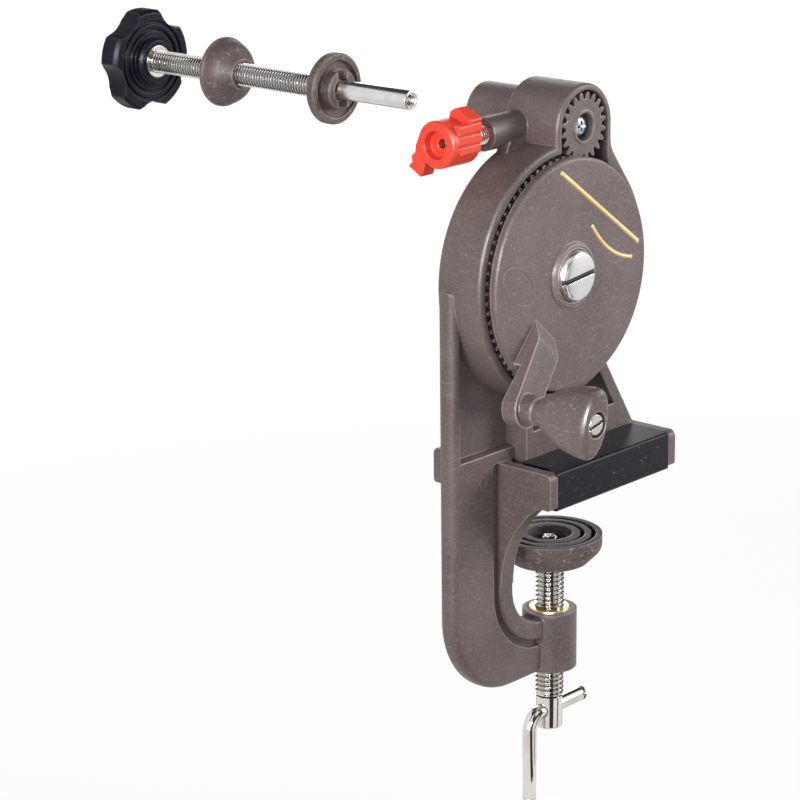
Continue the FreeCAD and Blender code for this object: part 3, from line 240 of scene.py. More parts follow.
def brightMetal(name, look):
    # plated or turned metal with fine marks and faint stains, and painted shade in its crevices and thread
    # roots
    material, graph, where = startMaterial(name)
    marks = graph.noise(graph.stretch(where, look["marks"]), 1.0, detail=3.0, rough=0.65)
    stain = graph.noise(where, look["stainScale"], detail=4.0)
    colour = graph.mix(graph.step(stain, look["stainSpan"]), look["colour"], look["stain"])
    dull = graph.step(stain, look["dullSpan"]) * look["stainRough"]
    rough = look["rough"] + (marks - 0.5) * look["roughSwing"] + dull
    # painted shade: darker colour in slots and thread roots
    colour = graph.mix(paintedCreviceShade(graph, look) * look["creviceShade"], colour, look["creviceShadeColour"])
    bump = graph.add("ShaderNodeBump", None, {
        "Strength": look["bump"], "Distance": look["markDepth"], "Height": marks,
        "Normal": roundedNormal(graph, look)})
    return finishMaterial(material, graph, {
        "Base Color": colour, "Metallic": 1.0, "Roughness": rough.clamp(0.03), "Normal": bump})


brownLook = {
    "dark": tint(98, 84, 82), "light": tint(111, 97, 95), "cloudScale": 45.0, "cloudSpan": (0.32, 0.68),
    "fleck": tint(138, 123, 120), "mottle": 0.55, "mottleSpan": (0.46, 0.7), "grainScale": 1600.0,
    "fineRatio": 3.1, "grainShare": 0.7, "grainDepth": 0.06 * mm, "bump": 0.7,
    "dustColour": tint(200, 189, 184), "dustScale": 560.0, "dustSize": 0.13, "dust": 0.45,
    "patchRatio": 0.13, "patchSpan": (0.55, 0.62),
    "rub": (260.0, 200.0, 900.0), "rubSpan": (0.55, 0.68), "scuff": 0.12,
    "topDarkColour": tint(44, 36, 35), "topDarkening": 0.0, "upwardSpan": (0.7, 0.95),
    # the edge colour is a painted highlight
    "edgeHighlightColour": tint(194, 180, 175), "edgeRadius": 0.8 * mm, "edgeSpan": (0.004, 0.16), "edgeHighlight": 0.7,
    "edgePolish": 0.14,
    # the crevice colour below is painted shade
    "creviceShadeColour": tint(48, 38, 36), "creviceShadeReach": 3.0 * mm, "creviceShade": 0.62, "creviceShadeSpan": (0.2, 0.85),
    "rough": 0.42, "roughSwing": 0.25, "cloudRough": 0.1, "shine": 0.4}
wheelLook = dict(
    brownLook, dark=tint(104, 89, 88), light=tint(118, 103, 102), fleck=tint(148, 133, 130),
    edgeRadius=1.1 * mm, edgeHighlight=0.95, edgeHighlightColour=tint(228, 214, 208), dustSize=0.15, dust=0.8)
gripLook = dict(
    brownLook, dark=tint(104, 89, 88), light=tint(114, 100, 98), rough=0.34, shine=0.45,
    edgeHighlight=0.9, edgeHighlightColour=tint(214, 200, 194), rub=(300.0, 500.0, 900.0), scuff=0.34, dust=0.3)
# painted shade: a darker copy of the brown plastic for the spool's flange and cone
shadedSpoolLook = dict(
    brownLook, dark=tint(82, 68, 66), light=tint(96, 82, 80), fleck=tint(130, 115, 112),
    rough=0.5, shine=0.3, rub=(700.0, 300.0, 500.0), scuff=0.3)
# the pad is darker on its up-facing faces
padLook = dict(
    brownLook, dark=tint(94, 81, 79), light=tint(116, 102, 100), shine=0.12,
    dustScale=520.0, dustSize=0.2, dust=0.7, rub=(420.0, 420.0, 620.0), scuff=0.6,
    edgeHighlightColour=tint(190, 178, 174), creviceShade=0.9, topDarkening=0.85)
rubberLook = dict(
    brownLook, dark=tint(9, 9, 20), light=tint(15, 15, 28), fleck=tint(34, 35, 50), mottle=0.2,
    grainScale=3000.0, rough=0.34, shine=0.18, scuff=0.05,
    dustColour=tint(180, 182, 190), dustScale=480.0, dustSize=0.15, dust=0.6,
    edgeHighlightColour=tint(92, 94, 112), edgeRadius=0.6 * mm, creviceShadeColour=tint(8, 8, 12))
redLook = dict(
    brownLook, dark=tint(248, 72, 50), light=tint(254, 82, 58), fleck=tint(255, 100, 74), mottle=0.3,
    grainScale=1500.0, bump=0.3, shine=0.35, dust=0.0, scuff=0.0,
    edgeHighlightColour=tint(255, 150, 120), edgeHighlight=0.35, creviceShadeColour=tint(150, 24, 16), creviceShade=0.35)
blackLook = dict(
    brownLook, dark=tint(14, 15, 26), light=tint(22, 23, 36), fleck=tint(38, 40, 54), mottle=0.3,
    rough=0.36, shine=0.12, scuff=0.02, dust=0.2, dustColour=tint(120, 122, 134),
    edgeHighlightColour=tint(84, 86, 102), creviceShadeColour=tint(8, 8, 12))
feltLook = dict(
    brownLook, dark=tint(70, 66, 60), light=tint(96, 90, 82), fleck=tint(120, 112, 102),
    rough=0.95, roughSwing=0.05, bump=1.0, grainDepth=0.2 * mm, shine=0.1)
nickelLook = {
    "colour": tint(222, 218, 213), "stain": tint(202, 197, 190), "stainScale": 60.0,
    "stainSpan": (0.35, 0.7), "dullSpan": (0.5, 0.8), "stainRough": 0.05,
    "marks": (900.0, 900.0, 900.0), "markDepth": 0.02 * mm, "bump": 0.12,
    "rough": 0.09, "roughSwing": 0.06, "edgeRadius": 0.2 * mm,
    # the crevice colour is painted shade in slots and thread roots
    "creviceShadeColour": tint(34, 31, 30), "creviceShadeReach": 1.2 * mm, "creviceShade": 0.97, "creviceShadeSpan": (0.2, 0.85)}
satinLook = dict(
    nickelLook, colour=tint(218, 216, 214), stain=tint(198, 195, 192), rough=0.24, bump=0.3,
    creviceShadeReach=2.4 * mm)
# painted shade: a darker finish for the walls of the bolt's slot
slotShadeLook = dict(satinLook, colour=tint(112, 108, 106), stain=tint(84, 80, 78), rough=0.42)
threadLook = dict(
    nickelLook, colour=tint(246, 244, 241), stain=tint(234, 231, 227), rough=0.1, edgeRadius=0.05 * mm,
    creviceShade=0.95, creviceShadeReach=1.3 * mm, creviceShadeSpan=(0.5, 0.77))
zincLook = dict(nickelLook, colour=tint(198, 208, 222), stain=tint(170, 180, 194), rough=0.28, bump=0.3)
brassLook = dict(nickelLook, colour=tint(226, 206, 160), stain=tint(204, 178, 126), rough=0.26, bump=0.3)
goldLook = dict(nickelLook, colour=tint(218, 188, 142), stain=tint(202, 170, 122), rough=0.5, bump=0.5)

brownPlastic = mouldedPlastic("brownPlastic", brownLook)
wheelPlastic = mouldedPlastic("wheelPlastic", wheelLook)
shadedSpoolPlastic = mouldedPlastic("shadedSpoolPlastic", shadedSpoolLook)
gripPlastic = mouldedPlastic("gripPlastic", gripLook)
scuffedPlastic = mouldedPlastic("scuffedPlastic", padLook)
shoeRubber = mouldedPlastic("shoeRubber", rubberLook)
redPlastic = mouldedPlastic("redPlastic", redLook)
blackPlastic = mouldedPlastic("blackPlastic", blackLook)
brakeFelt = mouldedPlastic("brakeFelt", feltLook)
nickel = brightMetal("nickel", nickelLook)
satinNickel = brightMetal("satinNickel", satinLook)
shadedSlotNickel = brightMetal("shadedSlotNickel", slotShadeLook)
threadNickel = brightMetal("threadNickel", threadLook)
zinc = brightMetal("zinc", zincLook)
brass = brightMetal("brass", brassLook)
goldFoil = brightMetal("goldFoil", goldLook)

finishes = {
    brownPlastic: ("main_frame", "spindle_pinion"),
    shadedSpoolPlastic: ("spool_flange", "spool_cone"),
    wheelPlastic: ("crank_wheel",),
    gripPlastic: ("crank_grip",),
    scuffedPlastic: ("clamp_pad",),
    shoeRubber: ("jaw_rubber",),
    redPlastic: ("brake_knob",),
    blackPlastic: ("star_knob",),
    brakeFelt: ("brake_shoe",),
    nickel: (
        "wheel_bolt", "wheel_nut", "wheel_washer", "spindle_rod", "knob_insert", "clamp_screw", "tommy_bar"),
    satinNickel: ("grip_screw",),
    zinc: ("pinion_screw", "brake_screw"),
    brass: ("clamp_insert",),
}
for material, names in finishes.items():
    for name in names:
        nodes[name].data.materials.clear()
        nodes[name].data.materials.append(material)
print("finishes given to", sum(len(names) for names in finishes.values()), "nodes")


def addPiece(name, data):
    piece = bpy.data.objects.new(name, data)
    bpy.context.scene.collection.objects.link(piece)
    return piece


def addSolid(name, mesh, material, place):
    # the mesh as an object of its own, with its place in the mesh
    data = bpy.data.meshes.new(name)
    mesh.to_mesh(data)
    mesh.free()
    data.transform(place)
    data.materials.append(material)
    return addPiece(name, data)


def startTree(name, wanted):
    tree = bpy.data.node_groups.new(name, "GeometryNodeTree")
    for label, kind in wanted.items():
        tree.interface.new_socket(label, in_out="INPUT", socket_type="NodeSocket" + kind)
    tree.interface.new_socket("Geometry", in_out="OUTPUT", socket_type="NodeSocketGeometry")
    graph = Graph(tree)
    group = tree.nodes.new("NodeGroupInput")
    return tree, graph, {label: Wire(graph, group.outputs[label]) for label in wanted}


def endTree(graph, geometry, material):
    whole = graph.add("GeometryNodeRealizeInstances", None, [geometry])
    painted = graph.add("GeometryNodeSetMaterial", None, {"Geometry": whole, "Material": material})
    graph.add("NodeGroupOutput", None, [painted])


def smoothShade(graph, geometry):
    return graph.add("GeometryNodeSetShadeSmooth", None, {"Geometry": geometry, "Shade Smooth": True})


def bakeTree(name, tree, values, place):
    # runs a tree on an empty mesh and returns its result as a plain mesh object in place
    holder = addPiece(name + "Holder", bpy.data.meshes.new(name + "Seed"))
    modifier = holder.modifiers.new("shape", "NODES")
    modifier.node_group = tree
    for item in tree.interface.items_tree:
        if item.in_out == "INPUT":
            modifier[item.identifier] = values[item.name]
    graph = bpy.context.evaluated_depsgraph_get()
    mesh = bpy.data.meshes.new_from_object(holder.evaluated_get(graph))
    bpy.data.objects.remove(holder)
    mesh.name = name
    mesh.materials.clear()
    mesh.materials.append(values["Material"])
    mesh.polygons.foreach_set("material_index", [0] * len(mesh.polygons))
    mesh.transform(place)
    return addPiece(name, mesh)


def settle(piece, angle=30.0):
    # merges doubles, turns faces outwards and smooths all but the sharp edges
    mesh = bmesh.new()
    mesh.from_mesh(piece.data)
    bmesh.ops.remove_doubles(mesh, verts=mesh.verts, dist=1e-7)
    bmesh.ops.dissolve_degenerate(mesh, edges=mesh.edges, dist=1e-8)
    bmesh.ops.recalc_face_normals(mesh, faces=mesh.faces)
    for edge in mesh.edges:
        edge.smooth = not (edge.is_manifold and edge.calc_face_angle(0.0) > math.radians(angle))
    for face in mesh.faces:
        face.smooth = True
    mesh.to_mesh(piece.data)
    mesh.free()
    return piece


def turned(name, profile, sides, material, place):
    # closed solid of revolution; profile is (radius, height) from end to end
    mesh = bmesh.new()
    angles = [2 * math.pi * side / sides for side in range(sides)]
    rings = []
    for radius, height in profile:
        if radius < 1e-9:
            rings.append([mesh.verts.new((0, 0, height))])
            continue
        rings.append([mesh.verts.new((radius * math.cos(a), radius * math.sin(a), height)) for a in angles])
    for low, high in zip(rings, rings[1:]):
        for side in range(sides):
            ends = [low[side % len(low)], low[(side + 1) % len(low)],
                    high[(side + 1) % len(high)], high[side % len(high)]]
            corners = list(dict.fromkeys(ends))
            if len(corners) > 2:
                mesh.faces.new(corners)
    return settle(addSolid(name, mesh, material, place))


def joined(name, parts):
    # several closed shells as one piece, each with its own materials
    mesh = bmesh.new()
    data = bpy.data.meshes.new(name)
    for part in parts:
        for material in part.data.materials:
            if material.name not in data.materials:
                data.materials.append(material)
        places = [data.materials.find(material.name) for material in part.data.materials]
        done = len(mesh.faces)
        mesh.from_mesh(part.data)
        mesh.faces.ensure_lookup_table()
        for face in mesh.faces[done:]:
            face.material_index = places[face.material_index]
    mesh.to_mesh(data)
    mesh.free()
    for part in parts:
        bpy.data.objects.remove(part)
    return addPiece(name, data)


def carve(piece, cutter, operation="DIFFERENCE"):
    # takes the cutter out of the piece, or keeps only what both hold; cut walls get the cutter's finish
    change = piece.modifiers.new("carve", "BOOLEAN")
    change.object = cutter
    change.operation = operation
    change.solver = "EXACT"
    change.material_mode = "TRANSFER"
    graph = bpy.context.evaluated_depsgraph_get()
    carved = bpy.data.meshes.new_from_object(piece.evaluated_get(graph))
    piece.modifiers.clear()
    piece.data = carved
    bpy.data.objects.remove(cutter)
    return settle(piece)


def block(name, low, high, material, place, taper=1.0):
    # six-sided block from corner to corner; taper narrows its upper end
    corners = []
    for z, share in ((low[2], 1.0), (high[2], taper)):
        for x, y in ((low[0], low[1]), (high[0], low[1]), (high[0], high[1]), (low[0], high[1])):
            corners.append((x * share, y * share, z))
    data = bpy.data.meshes.new(name)
    data.from_pydata(corners, [], [
        (3, 2, 1, 0), (4, 5, 6, 7), (0, 1, 5, 4), (1, 2, 6, 5), (2, 3, 7, 6), (3, 0, 4, 7)])
    data.transform(place)
    data.materials.append(material)
    return addPiece(name, data)


def standIn(piece, body, slot, *replaced):
    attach(piece, body)
    if replaced:
        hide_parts(*replaced)


alongDepth = spin(-90, "X")  # a local +Z becomes +Y
alongLeft = spin(-90, "Y")  # a local +Z becomes -X
alongRight = spin(90, "Y")  # a local +Z becomes +X


def boxAxis(name):
    # a node's lowest and highest corners, and the point in the middle of its -Y end
    low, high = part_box(name)
    middle = (low + high) / 2
    return low, high, Vector((middle.x, low.y, middle.z))


def easedEdge(radius, height, edge, bulge=0.3):
    # three points of a profile that round the low edge of a cylinder
    return [(radius - edge, height), (radius - edge * bulge, height + edge * bulge), (radius, height + edge)]


def buildThreadTree():
    # one helical strip with four lines a pitch, drawn in to a chamfer and a point on the axis at both ends
    tree, graph, put = startTree("rolledThread", {
        "Radius": "Float", "Depth": "Float", "Pitch": "Float", "Length": "Float", "Sides": "Int",
        "Chamfer": "Float", "Material": "Material"})
    lines, spare = 4, 3  # lines a pitch, and turns beyond the length, flattened onto the ends
    crestFlat, rootFlat = 0.125, 0.25  # shares of the pitch
    flank = (1 - crestFlat - rootFlat) / 2
    turns = (put["Length"] / put["Pitch"]).reckon("CEIL") + spare
    rows = turns * lines + 1
    grid = graph.add("GeometryNodeMeshGrid", None, {"Vertices X": put["Sides"] + 1, "Vertices Y": rows})
    index = graph.add("GeometryNodeInputIndex")
    column = ((index + 0.5) / rows).reckon("FLOOR")
    row = index - column * rows
    share = column / put["Sides"]
    turn = ((row + 0.5) / lines).reckon("FLOOR")
    line = row - turn * lines
    phase = line * flank - (line > 1.5) * (flank - crestFlat)
    along = (put["Pitch"] * (turn + phase + share - spare / 2)).clamp(0.0, put["Length"])
    root = put["Radius"] - put["Depth"]
    radius = root + put["Depth"] * (abs(line - 1.5) < 1.0)  # lines 1 and 2 are the crest
    mouth = root - put["Chamfer"]
    radius = radius.least(mouth + along).least(mouth + put["Length"] - along)
    radius = radius * (row > 0.5) * (row < rows - 1.5)
    angle = share * (2 * math.pi)
    spot = graph.add("ShaderNodeCombineXYZ", None, [
        radius * angle.reckon("COSINE"), radius * angle.reckon("SINE"), along])
    shaped = graph.add("GeometryNodeSetPosition", None, {"Geometry": grid, "Position": spot})
    closed = graph.add("GeometryNodeMergeByDistance", None, {"Geometry": shaped, "Distance": 1e-6})
    endTree(graph, smoothShade(graph, closed), put["Material"])
    return tree


threadTree = buildThreadTree()


def cutThread(name, sizes, radius, length, material, place):
    thread = bakeTree(name, threadTree, {
        "Radius": radius, "Depth": sizes["threadDepth"], "Pitch": sizes["pitch"], "Length": length,
        "Sides": sizes["sides"], "Chamfer": sizes["chamfer"], "Material": material}, place)
    return settle(thread, sizes["sharp"])


spindleSizes = {
    "pitch": 1.25 * mm, "threadDepth": 0.7 * mm, "sides": 40, "chamfer": 0.0, "sharp": 50.0,
    "plain": 3.25 * mm, "edge": 0.5 * mm, "seat": 3.3 * mm, "facets": 64,
    "bore": 2.08 * mm, "boreDepth": 12.0 * mm, "mouth": 0.35 * mm, "drillPoint": 0.6,
    "ridges": 8, "ridgeStep": 0.8 * mm, "ridgeDepth": 0.25 * mm}


def makeSpindle():
    sizes = spindleSizes
    low, high, near = boxAxis("spindle_rod")
    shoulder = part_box("spool_flange")[0].y + sizes["seat"]
    far = Vector((near.x, shoulder, near.z))
    thread = cutThread(
        "threadedRod", sizes, (high.x - low.x) / 2, high.y - shoulder, threadNickel,
        Matrix.Translation(far) @ alongDepth)
    plain, bore, edge = sizes["plain"], sizes["bore"], sizes["edge"]
    ridges = []
    for ring in range(sizes["ridges"]):  # tapped hole, its thread as rings
        start = edge + ring * sizes["ridgeStep"]
        ridges += [(bore, start), (bore + sizes["ridgeDepth"], start + sizes["ridgeStep"] / 2)]
    profile = [(0, sizes["boreDepth"]), (bore, sizes["boreDepth"] - bore * sizes["drillPoint"])]
    profile += ridges[::-1] + [(bore + sizes["mouth"], 0)] + easedEdge(plain, 0, edge)
    profile += [(plain, shoulder - low.y), (0, shoulder - low.y)]
    end = turned(
        "plainEnd", profile, sizes["facets"], satinNickel, Matrix.Translation(near) @ alongDepth)
    standIn(joined("threaded_spindle", [thread, end]), "spindle", "nickel", "spindle_rod")


clampSizes = {
    "pitch": 1.5875 * mm, "threadDepth": 0.9 * mm, "sides": 48, "chamfer": 0.0, "sharp": 60.0,
    "plain": 4.36 * mm, "plainLength": 11.3 * mm, "footEdge": 1.0 * mm, "footFacets": 64,
    "tipFacets": 40, "hole": 2.45 * mm,
    "drill": 9 * mm, "seatBelow": 0.3 * mm, "collar": 3.4 * mm, "collarBelow": 6.0 * mm,
    "collarEdge": 0.7 * mm, "collarThick": 1.0 * mm, "tip": 2.3 * mm, "tipBelow": 0.9 * mm,
    "tipCurve": ((1.0, 1.5), (1.1, 1.1), (1.1, 0.6), (0.85, 0.1), (0.5, 0.0), (0.0, 0.5)),
    "strokes": (20, 80, 140), "strokeReach": 4 * mm, "strokeHalf": 0.35 * mm}


def makeClampScrew():
    sizes = clampSizes
    low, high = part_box("clamp_screw")
    padLow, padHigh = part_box("clamp_pad")
    seat = padLow.z - sizes["seatBelow"]
    split = low.z + sizes["plainLength"]
    pivot = pivots["clamp_turn"]
    axis = Matrix.Translation((pivot.x, pivot.y, 0))
    thread = cutThread(
        "clampThread", sizes, (high.y - low.y) / 2, seat - split, nickel,
        Matrix.Translation((pivot.x, pivot.y, split)))
    plain, hole, reach, facets = sizes["plain"], sizes["hole"], sizes["drill"], sizes["tipFacets"]
    profile = [(0, low.z)] + easedEdge(plain, low.z, sizes["footEdge"]) + [(plain, split), (0, split)]
    foot = turned("clampFoot", profile, sizes["footFacets"], nickel, axis)
    drill = turned(
        "crossDrill", [(0, -reach), (hole, -reach), (hole, reach), (0, reach)], facets, nickel,
        Matrix.Translation(pivots["bar_swing"]) @ alongRight)
    carve(foot, drill)
    tip, collar = sizes["tip"], sizes["collar"]
    base = padHigh.z - sizes["collarBelow"]
    top = padHigh.z - sizes["tipBelow"]
    profile = [(0, seat), (tip, seat), (tip, base), (collar, base), (collar, base + sizes["collarEdge"])]
    profile += [(tip, base + sizes["collarThick"])]
    profile += [(tip * share, top - below * mm) for share, below in sizes["tipCurve"]]
    head = turned("peenedTip", profile, facets, nickel, axis)
    long, half = sizes["strokeReach"], sizes["strokeHalf"]
    for degrees in sizes["strokes"]:  # strokes of the peening tool across the tip
        place = Matrix.Translation((pivot.x, pivot.y, top)) @ spin(degrees, "Z") @ spin(45, "X")
        carve(head, block("peeningMark", (-long, -half, -half), (long, half, half), nickel, place))
    standIn(joined("clamp_spindle", [thread, foot, head]), "clamp", "nickel", "clamp_screw")


brakeSizes = {
    "pitch": 1.0 * mm, "threadDepth": 0.58 * mm, "sides": 36, "chamfer": 0.0, "sharp": 60.0,
    "sunk": 3.0 * mm}


def makeBrakeScrew():
    sizes = brakeSizes
    low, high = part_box("brake_screw")
    middle = (low + high) / 2
    thread = cutThread(
        "brake_thread", sizes, (high.z - low.z) / 2, high.x - low.x - sizes["sunk"], threadNickel,
        Matrix.Translation((high.x, middle.y, middle.z)) @ alongLeft)
    standIn(thread, "brake", "zinc", "brake_screw")


def buildRodTree():
    # round rod along three corners, the middle one bent to a radius
    tree, graph, put = startTree("bentRod", {
        "Radius": "Float", "Bend": "Float", "Right": "Float", "Left": "Float", "Drop": "Float",
        "Sides": "Int", "Material": "Material"})
    line = graph.add("GeometryNodeMeshLine", None, {"Count": 3})
    index = graph.add("GeometryNodeInputIndex")
    across = put["Right"] * (index < 0.5) - put["Left"] * (index > 0.5)
    spot = graph.add("ShaderNodeCombineXYZ", None, [across, 0.0, put["Drop"] * (index > 1.5) * -1.0])
    placed = graph.add("GeometryNodeSetPosition", None, {"Geometry": line, "Position": spot})
    path = graph.add("GeometryNodeMeshToCurve", None, [placed])
    bent = graph.add("GeometryNodeFilletCurve", {"mode": "POLY"}, {
        "Curve": path, "Radius": put["Bend"], "Count": 14})
    section = graph.add("GeometryNodeCurvePrimitiveCircle", {"mode": "RADIUS"}, {
        "Resolution": put["Sides"], "Radius": put["Radius"]})
    rod = graph.add("GeometryNodeCurveToMesh", None, {
        "Curve": bent, "Profile Curve": section, "Fill Caps": True})
    endTree(graph, smoothShade(graph, rod), put["Material"])
    return tree


barSizes = {
    "radius": 2.3 * mm, "bend": 6.0 * mm, "sides": 36, "sharp": 50.0, "overlap": 0.9,
    "footEnd": 1.2 * mm, "footCurve": ((1.0, 0.2), (0.8, 0.0), (0.0, 0.0)),
    "staked": 3.4 * mm, "stakeFacets": 32,
    "stakeCurve": (
        (0.0, 0.0), (1.0, 0.0), (1.0, 0.3), (1.09, 0.46), (1.1, 0.66), (0.98, 0.82), (0.8, 0.96),
        (0.55, 1.0), (0.0, 1.0)),
    "flats": (35, 125), "flatPlace": 0.52, "flatDepth": 0.82,
    "flatHalf": (0.5 * mm, 3 * mm), "flatTop": 4 * mm}


def makeBar():
    # bent through the cross hole; its right end is staked so that it stays in
    sizes = barSizes
    low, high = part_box("tommy_bar")
    pivot = pivots["bar_swing"]
    radius, staked, footEnd = sizes["radius"], sizes["staked"], sizes["footEnd"]
    left = pivot.x - low.x - radius
    rod = bakeTree("bentRod", buildRodTree(), {
        "Radius": radius, "Bend": sizes["bend"], "Left": left,
        "Right": high.x - pivot.x - staked * sizes["overlap"],
        "Drop": pivot.z - low.z - footEnd * sizes["overlap"],
        "Sides": sizes["sides"], "Material": nickel}, Matrix.Translation(pivot))
    settle(rod, sizes["sharp"])
    end = turned(
        "stakedEnd", [(radius * wide, staked * far) for wide, far in sizes["stakeCurve"]],
        sizes["stakeFacets"], nickel, Matrix.Translation((high.x - staked, pivot.y, pivot.z)) @ alongRight)
    thick, wide = sizes["flatHalf"]
    spot = Matrix.Translation((high.x - staked * sizes["flatPlace"], pivot.y, pivot.z))
    for degrees in sizes["flats"]:  # flats pressed beside the end
        carve(end, block(
            "pressedFlat", (-thick, -wide, radius * sizes["flatDepth"]), (thick, wide, sizes["flatTop"]),
            nickel, spot @ spin(degrees, "X")))
    profile = [(0, footEnd), (radius, footEnd)]
    profile += [(radius * wide, radius * up) for wide, up in sizes["footCurve"]]
    foot = turned(
        "barFoot", profile, sizes["sides"], nickel, Matrix.Translation((pivot.x - left, pivot.y, low.z)))
    standIn(joined("bent_bar", [rod, end, foot]), "bar", "nickel", "tommy_bar")


boltSizes = {
    "head": 8.2 * mm, "headDepth": 3.0 * mm, "underEdge": 0.2 * mm, "shank": 4.0 * mm, "facets": 96,
    "headCurve": ((0.0, 0.0), (0.80, 0.02), (0.87, 0.16), (0.93, 0.5), (0.975, 1.1), (1.0, 1.9)),
    "slotWidth": 1.6 * mm, "slotDepth": 1.4 * mm, "slotTurn": 6.0, "slotReach": 1.2, "slotAbove": 1 * mm,
    "pitch": 1.25 * mm, "threadDepth": 0.66 * mm, "sides": 36, "chamfer": 0.5 * mm, "sharp": 60.0,
    "threadLength": 7.0 * mm}


def makeWheelBolt():
    # pan head with a slot, its threaded tail through a washer and a hexagon nut
    sizes = boltSizes
    low, high, near = boxAxis("wheel_bolt")
    place = Matrix.Translation(near) @ alongDepth
    head, depth, shank = sizes["head"], sizes["headDepth"], sizes["shank"]
    length = high.y - low.y - sizes["threadLength"]
    profile = [(head * share, height * mm) for share, height in sizes["headCurve"]]
    profile += [(head, depth - sizes["underEdge"]), (head - sizes["underEdge"], depth), (shank, depth)]
    profile += [(shank, length), (0, length)]
    bolt = turned("panHead", profile, sizes["facets"], satinNickel, place)
    half, reach = sizes["slotWidth"] / 2, head * sizes["slotReach"]
    # the slot's walls take the darker finish: painted shade
    carve(bolt, block(
        "slotCutter", (-reach, -half, -sizes["slotAbove"]), (reach, half, sizes["slotDepth"]), shadedSlotNickel,
        place @ spin(-sizes["slotTurn"], "Z")))
    thread = cutThread(
        "boltThread", sizes, shank, sizes["threadLength"], zinc,
        Matrix.Translation(near + Vector((0, length, 0))) @ alongDepth)
    standIn(joined("slotted_bolt", [bolt, thread]), "frame", "nickel", "wheel_bolt")


nutSizes = {
    "flats": 12.8 * mm, "bore": 3.5 * mm, "boreEdge": 0.5 * mm, "boreFlare": 0.6 * mm,
    "faceShare": 0.47, "cornerShare": 1.02, "cornerDrop": 0.9 * mm, "facets": 72}


def makeWheelNut():
    sizes = nutSizes
    low, high, near = boxAxis("wheel_nut")
    place = Matrix.Translation(near) @ alongDepth
    height = high.y - low.y
    corner = sizes["flats"] / math.sqrt(3)
    bore, edge, flare = sizes["bore"], sizes["boreEdge"], sizes["bore"] + sizes["boreFlare"]
    face, wide, drop = sizes["flats"] * sizes["faceShare"], corner * sizes["cornerShare"], sizes["cornerDrop"]
    nut = turned("nutBlank", [
        (bore, edge), (flare, 0), (face, 0), (wide, drop), (wide, height - drop), (face, height),
        (flare, height), (bore, height - edge), (bore, edge)], sizes["facets"], zinc, place)
    profile = [(0, -mm), (corner, -mm), (corner, height + mm), (0, height + mm)]
    carve(nut, turned("hexagon", profile, 6, zinc, place), "INTERSECT")
    nut.name = "hex_nut"
    standIn(nut, "frame", "zinc", "wheel_nut")


crossSizes = {
    "width": 1.0 * mm, "reach": 2.1 * mm, "depth": 1.5 * mm, "above": 0.1 * mm, "taper": 0.45,
    "headCurve": ((0.0, 0.0), (0.35, 0.03), (0.6, 0.15), (0.82, 0.5), (0.95, 1.0), (1.0, 1.6), (1.0, 2.3)),
    "headDepth": 2.4 * mm, "underEdge": 0.1 * mm, "shank": 1.9 * mm, "point": 0.6 * mm,
    "pointTaper": 0.5 * mm, "facets": 64}


def makePinionScrew():
    # pan head with a cross recess, deep in the pinion's eye
    sizes = crossSizes
    low, high, near = boxAxis("pinion_screw")
    place = Matrix.Translation(near) @ alongDepth
    head, depth, shank = (high.x - low.x) / 2, sizes["headDepth"], sizes["shank"]
    length = high.y - low.y
    profile = [(head * share, height * mm) for share, height in sizes["headCurve"]]
    profile += [(head - sizes["underEdge"], depth), (shank, depth), (shank, length - sizes["point"])]
    profile += [(shank - sizes["pointTaper"], length), (0, length)]
    screw = turned("crossHead", profile, sizes["facets"], zinc, place)
    half, reach = sizes["width"] / 2, sizes["reach"]
    for degrees in (0, 90):
        carve(screw, block(
            "crossCutter", (-reach, -half, -sizes["above"]), (reach, half, sizes["depth"]), zinc,
            place @ spin(degrees, "Z"), sizes["taper"]))
    screw.name = "cross_screw"
    standIn(screw, "pinion", "zinc", "pinion_screw")


def buildStripeTree():
    # flat stripe along a curve of three points, with round ends
    tree, graph, put = startTree("foilStripe", {
        "Start": "Vector", "Middle": "Vector", "End": "Vector", "Width": "Float", "Thickness": "Float",
        "Steps": "Int", "Material": "Material"})
    sides, proud = 24, 1.02  # of the round tips, which stand just proud of the strip
    curve = graph.add("GeometryNodeCurveQuadraticBezier", None, {
        "Resolution": put["Steps"], "Start": put["Start"], "Middle": put["Middle"], "End": put["End"]})
    section = graph.add("GeometryNodeCurvePrimitiveQuadrilateral", None, {
        "Width": put["Width"], "Height": put["Thickness"]})
    strip = graph.add("GeometryNodeCurveToMesh", None, {
        "Curve": curve, "Profile Curve": section, "Fill Caps": True})
    disc = graph.add("GeometryNodeMeshCylinder", None, {
        "Vertices": sides, "Radius": put["Width"] / 2, "Depth": put["Thickness"] * proud}, "Mesh")
    ends = graph.add("GeometryNodePoints", None, {"Count": 2})
    index = graph.add("GeometryNodeInputIndex")
    spot = graph.add("ShaderNodeMix", {"data_type": "VECTOR"}, {
        0: index * 1.0, 4: put["Start"], 5: put["End"]}, 1)
    placed = graph.add("GeometryNodeSetPosition", None, {"Geometry": ends, "Position": spot})
    tips = graph.add("GeometryNodeInstanceOnPoints", None, {"Points": placed, "Instance": disc})
    both = graph.add("GeometryNodeJoinGeometry")
    for item in (strip, tips):
        graph.feed(item, both.socket.node.inputs[0])
    endTree(graph, both, put["Material"])
    return tree


